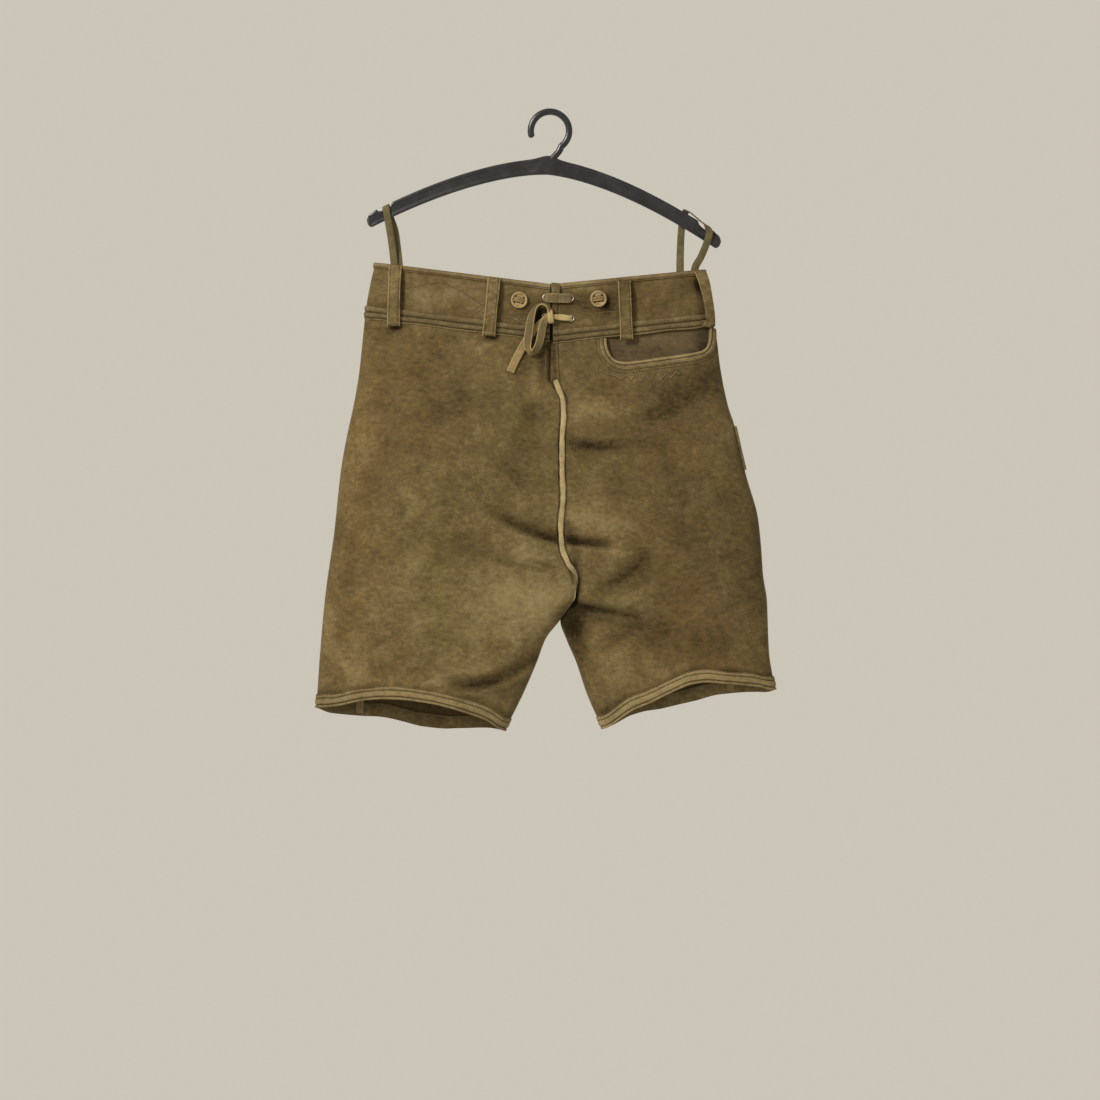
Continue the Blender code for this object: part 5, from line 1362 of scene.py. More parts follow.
def build_waistbands():
    """Band of doubled leather, its rolled binding and the double welt below it."""
    for side in SIDES:
        counts = column_counts(side)
        v = np.linspace(0, 1 - GAP / span(side, "waist", "seam"), BAND_ROWS)
        band = tube_grid(side, "tube", "waist", "seam", v, counts)
        faces = (np.arange(band.shape[1]) < counts[0]) * 1.0
        sheet(
            "band_" + side, ["waistband_" + side], "band_suede", band,
            grid_normals(band), BAND_WALL, shade_values(side, faces, band))
        path = skin_row(side, "waist", "seam", 0.0)
        x, y, _ = path[0].T
        rubbed = 0.36 * np.exp(-((x - 28) / 55) ** 2) * (y < 0)
        sweep(
            "rolled_edge_" + side, ["waist_binding_" + side], "band_suede", "suede_band", path,
            ROLLED_EDGE, relief=0.4, tone=rubbed)
        path = welt_row(side, WELT_OPEN)
        sweep(
            "double_welt_" + side, ["waist_welt_" + side], "trim_suede", "suede_light", path,
            uneven(WELT, len(path[0]), 0.05, 4.1), relief=0.3, shades=WELT_SHADES)


def loop_path(face, top_x, top_drop, low_x, low_drop):
    """Belt loop's line: straight on the skin, lifted by a monotone curve of LOOP_SHAPE.

    Its width lies square to the skin's normals, smoothed over nine stations.
    """
    t = np.linspace(0, 1, LOOP_STATIONS)
    x = top_x + (low_x - top_x) * t
    drop = top_drop + (low_drop - top_drop) * t
    centres, normals = spot(face, x, drop, monotone(t, *zip(*LOOP_SHAPE)) + LOOP_WALL / 2)
    padded = np.pad(normals, ((4, 4), (0, 0)), "edge")
    smooth = np.stack([np.convolve(axis, np.ones(9) / 9, "valid") for axis in padded.T], 1)
    return framed(centres, np.cross(smooth, (0.0, 0.0, 1.0)), smooth)


def build_belt_loops():
    """Straps of soft section, with a slight spread at their caught ends."""
    look = ("loop_suede", "suede_light")
    for name, row in BELT_LOOPS.items():
        centres, outs, sides = loop_path(*row)
        t = np.linspace(0, 1, LOOP_STATIONS)
        width = LOOP_WIDTH * (1 - 0.05 * np.sin(math.pi * t))
        width = width + 0.25 * np.sin(9 * t + len(name) + row[1])
        if name == NARROW_LOOP:
            width = width * (0.94 - 0.22 * t ** 1.5)
            centres = centres + np.sin(math.pi * t ** 0.8)[:, None] * np.array([1.2, 0.0, 0.0])
        # Painted highlight on the fold near the loop's lower end, and painted shadow at its very
        # end
        ends = 0.3 * np.exp(-((t - 0.95) / 0.02) ** 2) - 0.5 * np.exp(-((t - 1) / 0.02) ** 2)
        sweep(
            name.replace("belt_loop", "loop_strap"), [name], *look, (centres, outs, sides),
            strap_section(width, LOOP_WALL, 24, 4.0), tone=ends)
    left, right, middle, fold = LOOP_TURN
    x = np.linspace(left, right, 16)
    path = crossed(*spot("back", x, 250.6 + 0.3 * (x - fold), 5.2))
    swell = 1 - 0.25 * ((x - middle) / 6) ** 2
    # The turned-up end's under half gets painted shade
    sweep(
        "loop_turn_4", [], *look, path, strap_section(6.6 * swell, 5.0 * swell, 20, 2.2),
        tone=0.1 - 0.5 * (x < fold))


def turned_piece(name, nodes, finish, slot, profile, steps, centre, normal):
    """Turned solid on the skin, whose profile runs from pole to pole, or is a closed ring."""
    points = stand(turned_grid(profile, steps), centre, normal)
    closed_ring = profile[0][0] > 0
    caps = []
    if not closed_ring:
        points = points[1:-1]
        caps = end_caps(len(points), steps)
    quads = grid_quads(len(points), steps, ring_rows=closed_ring, ring_columns=True)
    new_piece(name, nodes, finish, points.reshape(-1, 3), quads, caps, smooth=50)


def build_buttons():
    """Pressed hide buttons with a raised rim, four thong holes and a thong across.

    The thong arches over the slot by a height times 1 - t^4.
    """
    ring = len(BUTTON_HOLE) * HOLE_STEPS
    one = grid_quads(len(BUTTON_HOLE), HOLE_STEPS, ring_columns=True)
    for name, (face, x, drop, lift, turn) in BUTTONS.items():
        centre, normal = (value[0] for value in spot(face, [x], [drop], [lift]))
        turned_piece(
            name + "_disc", [name], "button_hide", "horn", BUTTON_PROFILE, 48, centre, normal)
        hole = turned_grid(BUTTON_HOLE, HOLE_STEPS)
        holes = [hole + np.array([a, b, 0.0]) for a, b in BUTTON_HOLES]
        # The slot is a dark ellipse under the thong bar, whose rim shows as a painted shadow line
        holes.append(turned_grid(BUTTON_SLOT, HOLE_STEPS) * np.array(SLOT_SCALE))
        points = [stand(hole, centre, normal, turn).reshape(-1, 3) for hole in holes]
        starts = [ring * k for k in range(len(holes))]
        quads = np.concatenate([one + start for start in starts])
        caps = [cap for start in starts for cap in end_caps(len(BUTTON_HOLE), HOLE_STEPS, start)]
        new_piece(name + "_holes", [], "hole_shade", np.concatenate(points), quads, caps)
        t = np.linspace(-1, 1, 21)
        line = np.stack([6.3 * t, 0.12 * np.sin(3 * t), 2.35 + 1.75 * (1 - t ** 4)], axis=-1)
        path = stand(line, centre, normal, turn)
        sides = stand(line + np.array([0, 1.0, 0]), centre, normal, turn) - path
        sweep(
            name + "_thong", [], "pale_thong", "thong", framed(path, sides, normal),
            strap_section(5.6 - 0.8 * t ** 2, 1.3, 20, 4.0))


def build_eyelets():
    """Rolled metal rings with a dark hole."""
    for name, (x, drop) in EYELETS.items():
        at = [value[0] for value in spot("back", [x], [drop], [0.0])]
        turned_piece(
            name + "_ring", [name], "eyelet_nickel", "eyelet_metal", EYELET_PROFILE, 40, *at)
        turned_piece(name + "_hole", [], "hole_shade", "thong_dark", EYELET_HOLE, 24, *at)


def thong_path(rows, per_span):
    """Path of a thong over the band, and its profiles.

    The strap's side is turned by its lean from lying flat on to its edge.
    """
    x, drop, height, width, wall, lean = smooth_path(rows, per_span).T
    skin_point, _ = spot("back", x, drop, 0.0)
    centres = np.stack([x, skin_point[:, 1] - height, drop], axis=1)
    outs = np.tile(BACKWARDS, (len(x), 1))
    sides = np.cross(directions(centres), outs)
    lean = np.radians(lean)[:, None]
    path = framed(centres, sides * np.cos(lean) + outs * np.sin(lean))
    return path, strap_section(width, wall, 24, 4.0)


def build_lacing():
    """Upper crossing, the free thong from the lower eyelet to its cut end, and its knot."""
    sweep("upper_crossing", ["lace_upper"], "grey_thong", "thong_dark", *thong_path(UPPER_LACE, 6))
    path, profile = thong_path(LACE, 8)
    centres = path[0]
    at = np.arange(len(centres))
    free = sweep(
        "bow_thong", ["lace_lower", "lace_loop", "lace_tail"], "pale_thong", "thong", path, profile,
        rubbed=np.interp(at, *zip(*RUBBED)), flesh=np.interp(at, *zip(*PAINTED_STRAND_SHADE)))
    turns = build_knot()
    length = np.linalg.norm(np.diff(centres, axis=0), axis=1).sum() * MM
    print("bow thong length", round(length, 4))
    path = to_metres(centres)


def build_knot():
    """Two turns of thong round the knot's core, each an oval band swept as a ring."""
    x, drop, height = KNOT
    skin_point, _ = spot("back", [x], [drop], [0.0])
    middle = np.array([x, skin_point[0, 1] - height, drop])
    t = np.linspace(0, 2 * math.pi, 44, endpoint=False)
    turns = []
    for name, (nodes, half_y, half_drop, width, wall, angle, shift) in KNOT_TURNS.items():
        c = math.cos(math.radians(angle))
        s = math.sin(math.radians(angle))
        along = np.sin(t) * half_drop
        ring = np.stack([along * s, -np.cos(t) * half_y, along * c], axis=1)
        sides = np.tile((c, 0.0, -s), (len(t), 1))
        path = framed(middle + np.array(shift) + ring, sides, ring, True)
        turns.append(sweep(
            name, nodes, "pale_thong", "thong", path,
            strap_section(width + 0.5 * np.sin(2 * t), wall, 20, 3.0), ring=True, rubbed=0.85))
    return turns


def skin_sheet(face, left, right, top, bottom, lift, steps):
    """Grid on a face of the skin between x and drop bounds, and its normals."""
    x = np.linspace(left, right, steps[0])[None, :]
    drop = top + (bottom - top) * np.linspace(0, 1, steps[1])[:, None]
    return spot(face, x, drop, lift)


def build_centre_back():
    """Gusset behind the slit, piping over the seam, stay below it and tab at the slit's head."""
    grid, normals = skin_sheet("back", *GUSSET, -3.2, (24, 60))
    pleat = 0.5 * np.sin(grid[..., 0] / 2.3)[..., None] * normals
    drop = grid[..., 2]
    # Painted shade in the slit's recess, darkest in the opening below the knot
    tone = -0.2 + 0.15 * np.exp(-((drop - 205) / 26) ** 2) - 1.2 * np.exp(-((drop - 256) / 12) ** 2)
    sheet(
        "slit_gusset", ["back_gusset"], "body_suede", grid + pleat, normals,
        FACING_WALL, {"tone": tone}, cut=grid)

    drop = np.linspace(PIPING_HEAD[0][0], PIPING_FOOT, 140)
    head = monotone(drop, *zip(*PIPING_HEAD))
    seam = 0.5 * (inner_x("left", drop) + inner_x("right", drop))
    x = np.where(drop < PIPING_HEAD[-1][0], head, seam)
    centres, outs = spot("back", x, drop, 1.1)
    outs = outs * np.array([0.3, 1, 1])
    outs /= np.linalg.norm(outs, axis=1, keepdims=True)
    taper = np.clip(np.minimum((drop - 316) / 4, (576 - drop) / 22), 0.3, 1)
    twist = 1 + 0.07 * np.sin(drop / 6.3) + 0.05 * np.sin(drop / 2.6)
    sweep(
        "seam_piping", ["seat_piping"], "piping_leather", "thong", crossed(centres, outs),
        strap_section(PIPING_WIDTH * taper * twist, PIPING_WALL * taper, 20, 2.3))

    # A dark sheet of painted shadow between the legs, below the piping
    drop = np.linspace(*CROTCH_SHADOW_DROPS, 22)
    low = inner_x("left", drop)
    far = inner_x("right", drop)
    centres = np.stack([0.5 * (low + far), 0 * drop, drop], axis=1)
    path = (centres, np.tile(BACKWARDS, (22, 1)), np.tile((1.0, 0.0, 0.0), (22, 1)))
    sweep(
        "crotch_stay", [], "body_suede", "suede", path,
        strap_section(far - low + 7.0, 1.2, 16, 4.0), tone=-0.9)

    drop = np.linspace(*TAB, 16)
    lift = 2.4 - 0.6 * ((drop - 209) / 7) ** 2
    centres, _ = spot("back", 5.4 + 0.02 * (drop - 204), drop, lift)
    centres[:3, 1:] += TAB_TUCK
    path = framed(centres, np.tile((1.0, 0.0, 0.1), (16, 1)), BACKWARDS)
    sweep(
        "placket_tab", [], "trim_suede", "suede_light", path,
        strap_section(np.linspace(10.6, 9.6, 16), 1.7, 20, 4.0))


def build_hip_pocket():
    """Facing behind the scooped mouth and the rounded binding along its edge."""
    left, right, top, bottom = FACING
    x = np.linspace(left, right, 56)[None, :]
    low = inner_x("right", top)
    s = (x - low) / (outer_x("right", top) - low)
    start = edge_drop("seam", "right", "back", s) + 2 * GAP
    drop = start + (bottom - start) * np.linspace(0, 1, 32)[:, None]
    x = np.broadcast_to(x, drop.shape)
    sag = 1.1 * np.sin(x / 21.0) * np.sin((drop - 250) / 24.0) - 0.6
    grid, normals = spot("back", x, drop, -2.6 + np.minimum(sag, 0.1))
    # Painted shade in the pocket's recess, darkest at its right end
    tone = patches(FACING_SHADES, x, drop) - 0.1
    sheet(
        "mouth_facing", ["pocket_facing"], "facing_suede", grid, normals,
        FACING_WALL, {"tone": tone})
    centres, outs = resample(*on_scoop(0.0, 0.0), 2.0)
    sweep(
        "mouth_binding", ["pocket_binding"], "trim_suede", "suede_light", crossed(centres, outs),
        uneven(POCKET_BINDING, len(centres), 0.04, 3.1), shades=POCKET_SHADES)


def knife_grid(drops, turns, lifts):
    """Grid round the right fold: turn is 1 - s, negative on the back; lifted by columns."""
    drop = np.asarray(drops)[:, None] * np.ones((1, len(turns)))
    s = 1 - np.abs(turns)[None, :] * np.ones(drop.shape)
    back, front = (skin("right", face, s, drop) for face in ("back", "front"))
    grid = np.where(turns[None, :, None] < 0, back, front)
    normals = grid_normals(grid, np.array([0.6, 1.0, 0.0]))
    return grid + normals * np.broadcast_to(lifts, drop.shape)[..., None], normals


def build_knife_pocket():
    """Stitched pouch on the front of the right thigh, and the flap that closes it.

    The pouch swells by (sin(pi u) * sin(pi v^0.8))^0.6.
    """
    outer, inner, top, bottom = KNIFE_POUCH
    u = np.linspace(0, 1, 22)[None, :]
    v = np.linspace(0, 1, 60)[:, None]
    dome = 2.6 + 1.3 * (np.sin(math.pi * u) * np.sin(math.pi * v ** 0.8)) ** 0.6
    turns = 1 - np.linspace(outer, inner, 22)
    grid, normals = knife_grid(np.linspace(top, bottom, 60), turns, dome)
    sheet(
        "knife_pouch", ["knife_pocket"], "body_suede", grid, normals, SUEDE_WALL,
        {"tone": 0.08})
    turns = np.concatenate([np.linspace(-0.008, 0.026, 14), np.linspace(0.034, 0.21, 22)])
    lifts = np.interp(turns, *zip(*KNIFE_FLAP_LIFT))
    grid, normals = knife_grid(np.linspace(*KNIFE_FLAP, 24), turns, lifts)
    sheet(
        "knife_pouch_flap", ["knife_pocket_flap"], "trim_suede", grid, normals,
        SUEDE_WALL, {"tone": 0.15})


def build_drop_front():
    """Flap of the front, buttoned to the band."""
    grid, normals = skin_sheet("front", *FLAP, FLAP_LIFT, (54, 68))
    x = grid[..., 0]
    drop = grid[..., 2]
    values = {"tone": patches(SHADES["front"], x, drop), "moss": patches(MOSSES["front"], x, drop)}
    sheet("drop_front", ["front_flap"], "body_suede", grid, normals, SUEDE_WALL, values)


def hem_path(side):
    """Ring along the panels' lower edge, with the directions out and down."""
    centres, outs, ups = skin_row(side, "seam", "hem", 1 - 3 * GAP / span(side, "seam", "hem"))
    return centres[:-1], outs[:-1], -ups[:-1]


def build_hems():
    """Folded binding of each leg, with a bead along its lower edge, and the seam inside."""
    for side in SIDES:
        path = hem_path(side)
        shades = np.asarray(HEM_SHADES) + (RIGHT_HEM_SHADE if side == "right" else 0.0)
        sweep(
            "hem_band_" + side, ["hem_binding_" + side], "trim_suede", "suede_light", path,
            uneven(HEM_BINDING, len(path[0]), 0.035, 3.7), ring=True, relief=0.3, shades=shades)
        v = np.linspace(*SEAM_INSIDE, 40)
        counts = column_counts(side)
        tube = tube_grid(side, "tube", "seam", "hem", v, counts)
        at = counts[0] + counts[1] - 2
        inset = 2.9 + 2.3 * np.clip((v[:, None] - 0.945) / 0.02, 0, 1)
        centres = tube[:, at] - grid_normals(tube)[:, at] * inset
        path = framed(centres, tube[:, at + 2] - tube[:, at])
        sweep(
            "side_seam_inside_" + side, [], "trim_suede", "suede_light", path,
            strap_section(np.full(40, 9.0), 1.5), shades=0.45)


# ---------------------------------------------------------------- hanger
def tilted(x, drop):
    """Turn points of the hanger about the hook's inner top."""
    c = math.cos(HANGER_TILT)
    s = math.sin(HANGER_TILT)
    return x * c - drop * s, x * s + drop * c


def build_hanger():
    """Arms of ribbed section closed by rounded ends, and the bent hook in their boss.

    half thickness = web + (rim - web) * smooth step of the distance from mid height, and the
    height closes at the ends as sqrt(1 - e^2).
    """
    stations, size = ARM_COUNTS
    x = np.linspace(-1, 1, stations)
    x = (np.sin(x * math.pi / 2) * 0.35 + x * 0.65) * ARM_REACH
    end = np.clip((np.abs(x) - ARM_ROUND) / (ARM_REACH - ARM_ROUND), 0, 1)
    close = np.sqrt(np.clip(1 - end ** 2, 0.0, 1)) * 0.995 + 0.005
    notch = np.sqrt(np.maximum(0.0, 1 - ((np.abs(x) - NOTCH_AT) / (NOTCH_WIDTH / 2)) ** 2))
    low = ARM_DROP + ARM_FALL * (np.minimum(np.abs(x), ARM_FLAT) / ARM_FLAT) ** ARM_CURVE
    high = low - ARM_HEIGHT + NOTCH_DEPTH * notch
    high = high - 4.0 * np.exp(-(x / 13.0) ** 2)
    middle = 0.5 * (low + high) + 1.0 * end
    half = 0.5 * (low - high) * close
    turn = (np.arange(size) + 0.5) / size * 2 * math.pi
    side, h = (np.sign(wave) * np.abs(wave) ** ARM_SQUARE for wave in (np.cos(turn), np.sin(turn)))
    rim = np.clip((np.abs(h) - 0.52) / 0.2, 0, 1)
    rim = rim * rim * (3 - 2 * rim)
    boss = np.exp(-(x[:, None] / 15.0) ** 4)
    thick = ARM_WEB + (ARM_RIM - ARM_WEB) * np.maximum(np.maximum(rim[None], boss), end[:, None])
    y = side[None] * thick * (0.3 + 0.7 * close[:, None])
    drop = middle[:, None] + h[None] * half[:, None]
    px, pd = tilted(x[:, None] * np.ones(drop.shape), drop)
    points = np.stack([px, y, pd], axis=-1).reshape(-1, 3)
    quads = grid_quads(stations, size, ring_columns=True)
    new_piece(
        "hanger_arms", ["hanger"], "hanger_plastic", points, quads,
        end_caps(stations, size), smooth=50)

    radius = HOOK_RADIUS + HOOK_BAR / 2
    first = (radius * math.cos(HOOK_TURN[0]), HOOK_RADIUS - radius * math.sin(HOOK_TURN[0]))
    t = np.linspace(0, 1, 24, endpoint=False)
    rise = STEM_FOOT + (first[1] - STEM_FOOT) * t
    stem = np.stack([first[0] * t * t * (3 - 2 * t), rise], axis=1)
    turn = np.linspace(*HOOK_TURN, 72)
    bend = np.stack([radius * np.cos(turn), HOOK_RADIUS - radius * np.sin(turn)], axis=1)
    line = np.concatenate([stem, bend])
    px, pd = tilted(line[:, 0], line[:, 1])
    centres = np.stack([px, np.zeros(len(line)), pd], axis=1)
    run = np.linspace(0, 1, len(line))
    taper = np.sqrt(np.clip(1 - np.clip((run - 0.975) / 0.025, 0, 1) ** 2, 0.03, 1))
    foot = 1 + 0.5 * np.exp(-(run / 0.06) ** 2)
    sweep(
        "hanger_hook", [], "hanger_plastic", "black_plastic",
        framed(centres, np.cross(directions(centres), BACKWARDS)),
        strap_section(HOOK_BAR * taper * foot, HOOK_THICK * taper, 24, 2.2))


def build_hanger_loops():
    """Leather straps from inside the band over an arm and back, softly dished in section."""
    for side in SIDES:
        path = smooth_path(STRAPS[side], 9)
        width = STRAP_WIDTH * (1 + 0.03 * np.sin(np.arange(len(path)) / 7.0))
        profile = strap_section(width, STRAP_WALL, 24, 4.0)
        dish = 0.25 * (1 - (profile[..., 0] / (STRAP_WIDTH / 2)) ** 2)
        profile[..., 1] += dish * np.sign(profile[..., 1])
        sweep(
            "strap_over_arm_" + side, ["hanger_loop_" + side], "strap_leather", "ribbon",
            framed(path[:, :3], path[:, 3:]), profile)


# ---------------------------------------------------------------- stitching
# Rows of stitches: thread, slot, pitch, length, thickness, lift
STITCHES = {
    "hem_stitches": ("dark_thread", "suede_light", 3.0, 2.1, 0.9, 0.1),
    "rolled_edge_stitches": ("dark_thread", "suede_band", 3.0, 2.1, 0.8, 0.1),
    "welt_stitches": ("dark_thread", "suede_light", 3.0, 2.1, 0.8, 0.1),
    "side_seam_stitches": ("dark_thread", "suede", 3.2, 2.2, 0.8, 0.1),
    "loop_stitches": ("dark_thread", "suede_light", 3.0, 2.1, 0.6, 0.0),
    "pocket_stitches": ("tan_thread", "suede_light", 3.0, 2.1, 0.7, 0.1),
    "pocket_stitches_dark": ("dark_thread", "suede_light", 3.0, 2.1, 0.7, 0.1),
    "centre_stitches": ("tan_thread", "suede", 3.1, 2.1, 0.7, 0.1),
    "front_stitches": ("tan_thread", "suede", 3.1, 2.1, 0.75, 0.1),
    "knife_pocket_stitches": ("tan_thread", "suede_light", 3.1, 2.1, 0.75, 0.1),
    "band_ornament": ("dim_thread", "suede_band", 2.4, 1.7, 0.65, 0.0),
    # a lighter row paints the highlight on the ornament's ridge
    "band_ornament_ridge": ("tan_thread", "suede_band", 2.4, 2.5, 0.9, -0.05),
    "pocket_zigzag": ("pale_thread", "suede", 2.2, 2.4, 1.0, 0.0),
    # a darker row paints the zigzag's shadow
    "pocket_zigzag_shade": ("dim_thread", "suede", 2.2, 2.2, 0.7, -0.05),
}
# Rows of the pocket's stitches: distance from the binding's middle, height
POCKET_ROWS = {
    "pocket_stitches": ((3.0, 1.3), (12.8, 0.0)),
    "pocket_stitches_dark": ((0.1, 0.8), (5.1, 0.8), (9.4, 0.0)),
}
# Rows along the inner lines: face, side, distance, top, bottom, count, height
CENTRE_ROWS = (
    ("back", "right", 4.4, 218, 318, 40, 0.8), ("back", "right", 8.4, 218, 318, 40, 0.0),
    ("back", "left", -3.2, 218, 318, 40, 0.0), ("back", "left", -5.4, 324, 548, 90, 0.0),
    ("back", "right", 5.4, 324, 548, 90, 0.0), ("front", "left", -4.0, 400, 590, 70, 0.0),
    ("front", "right", 4.0, 400, 590, 70, 0.0),
)


def stitches(kind, rows, side=""):
    """A run of small capsules along lines on the leather, one for each stitch.

    Each is a six-sided tube whose radius falls to 0.4 at its ends, which dip into the leather.
    """
    thread, slot, pitch, length, thick, lift = STITCHES[kind]
    along = np.array([-0.5, -0.3, 0.3, 0.5]) * length
    radius = np.array([0.4, 1.0, 1.0, 0.4]) * thick / 2
    dip = np.array([-0.3, 0.0, 0.0, -0.3]) * thick
    turn = np.arange(6) / 6 * 2 * math.pi
    a = along[:, None] * np.ones((1, 6))
    b = radius[:, None] * np.cos(turn)
    c = radius[:, None] * np.sin(turn) + dip[:, None]
    template = np.stack([a, b, c], axis=-1).reshape(-1, 3)
    points = []
    for line, normals in rows:
        centres, outs, sides = crossed(*resample(line, normals, pitch))
        run = directions(centres)
        body = centres[:, None] + outs[:, None] * lift
        body = body + run[:, None] * template[None, :, :1] - sides[:, None] * template[None, :, 1:2]
        points.append((body + outs[:, None] * template[None, :, 2:]).reshape(-1, 3))
    points = np.concatenate(points)
    one = np.concatenate([
        grid_quads(4, 6, ring_columns=True),
        [[3, 2, 1, 0], [5, 4, 3, 0], [18, 19, 20, 21], [18, 21, 22, 23]],
    ])
    starts = np.arange(len(points) // 24)[:, None, None] * 24
    new_piece(kind + side, [], thread, points, (one[None] + starts).reshape(-1, 4), smooth=80)


def shifted(path, rows):
    """Lines beside a path: its sides times a distance and its outs times a height."""
    centres, outs, sides = path
    return [(centres + sides * at + outs * high, outs) for at, high in rows]


def on_scoop(inset, height):
    """Line beside the middle of the pocket's binding, with its normals."""
    line = scoop_line(inset)
    return spot("back", line[:, 0], line[:, 1], height)


def centre_rows(face):
    """Straight rows along the inner lines of a face."""
    rows = []
    for row_face, side, away, top, bottom, count, height in CENTRE_ROWS:
        if row_face == face:
            drop = np.linspace(top, bottom, count)
            rows.append(spot(face, inner_x(side, drop) + away, drop, height))
    return rows


def build_stitching():
    """Rows of stitches of the bindings, welts, loops, seams and pockets."""
    for side in SIDES:
        end = "_" + side
        stitches("hem_stitches", shifted(hem_path(side), ((-12.4, 0.8), (-8.2, 0.8))), end)
        edge = skin_row(side, "waist", "seam", 0.0)
        stitches("rolled_edge_stitches", shifted(edge, ((-3.5, 1.1),)), end)
        welt = welt_row(side, WELT_OPEN + 2.0)
        stitches("welt_stitches", shifted(welt, ((-0.9, 0.5), (-7.7, 0.5))), end)
        margin = 14 / span(side, "seam", "hem")
        v = np.linspace(margin, 1 - margin, 160)
        back = tube_grid(side, "back", "seam", "hem", v, column_counts(side))
        stitches("side_seam_stitches", [(back[:, -3], grid_normals(back)[:, -3])], end)
    rows = [row for loop in BELT_LOOPS.values() for row in shifted(loop_path(*loop), LOOP_ROWS)]
    stitches("loop_stitches", rows)
    for kind, rows in POCKET_ROWS.items():
        stitches(kind, [on_scoop(*row) for row in rows])
    stitches("centre_stitches", centre_rows("back"))

    left, right, top, bottom = FLAP
    rows = []
    t = np.linspace(0, 1, 50)
    for inset in (4.0, 8.0):
        low = bottom - inset
        near, far = left + inset, right - inset
        corners = ((near, top), (near, low), (far, low), (far, top))
        for (x0, d0), (x1, d1) in zip(corners[:-1], corners[1:]):
            rows.append(spot("front", x0 + (x1 - x0) * t, d0 + (d1 - d0) * t, FLAP_LIFT))
    stitches("front_stitches", rows + centre_rows("front"))

    outer, inner, top, bottom = KNIFE_POUCH
    drop = np.linspace(430, bottom - 4, 50)
    rows = []
    for inset in (0.008, 0.014):
        low = outer - inset
        rows += [knife_line(1 - s, drop, 3.0) for s in (low, inner + 0.972 - low - 0.008)]
    rows.append(knife_row(np.linspace(1 - outer + 0.01, 1 - inner - 0.01, 20), bottom - 4.0, 3.0))
    turns = np.linspace(-0.004, 0.206, 30)
    lifts = np.interp(turns, *zip(*KNIFE_FLAP_LIFT)) + 0.1
    rows += [knife_row(turns, drop, lifts) for drop in (KNIFE_FLAP[1] - 3.0, KNIFE_FLAP[0] + 3.0)]
    stitches("knife_pocket_stitches", rows)


def knife_line(turn, drops, lift):
    """Upright line at one turn round the right fold."""
    grid, normals = knife_grid(drops, np.array([turn - 0.003, turn, turn + 0.003]), lift)
    return grid[:, 1], normals[:, 1]


def knife_row(turns, drop, lifts):
    """Line across, round the right fold."""
    grid, normals = knife_grid(np.array([drop - 0.5, drop, drop + 0.5]), turns, lifts)
    return grid[1], normals[1]


def along_skin(face, points, down=0.0):
    """Smooth line through (x, drop) points of a face, with its normals."""
    path = smooth_path([(x, drop + down) for x, drop in points], 12)
    return spot(face, path[:, 0], path[:, 1], 0.0)


def build_ornament():
    """Sewn arches and crosses of the band, and the zigzag below the hip pocket."""
    lines = [(face, line) for face in ORNAMENT for line in ORNAMENT[face]]
    # Below each sewn line, a lighter row paints the highlight of its ridge
    for kind, down in (("band_ornament", 0.0), ("band_ornament_ridge", 1.2)):
        stitches(kind, [along_skin(face, line, down) for face, line in lines])
    t = np.linspace(0, len(ZIGZAG) - 1, 160)
    x, drop = (np.interp(t, np.arange(len(ZIGZAG)), axis) for axis in zip(*ZIGZAG))
    stitches("pocket_zigzag", [spot("back", x, drop, 0.05)])
    # A darker row just below the zigzag paints its shadow
    stitches("pocket_zigzag_shade", [spot("back", x, drop + 1.3, 0.0)])


# ---------------------------------------------------------------- stage
# Lights: place, size, share of the key light's power, colour
LIGHTS = {
    "key": ((-1.55, -1.75, 0.95), 0.62, 1.0, (1.0, 0.985, 0.95)),
    "fill": ((1.9, -1.6, -0.2), 1.6, 0.06, (0.97, 0.98, 1.0)),
    "rear": ((0.9, 2.2, 0.9), 1.6, 0.35, (1.0, 0.99, 0.97)),
}
LIT = (0.0, 0.0, -0.48)          # point that the lights face
CAMERA_AT = (-0.0012, -0.522)    # x and z
FLOOR_REACH = 2.65


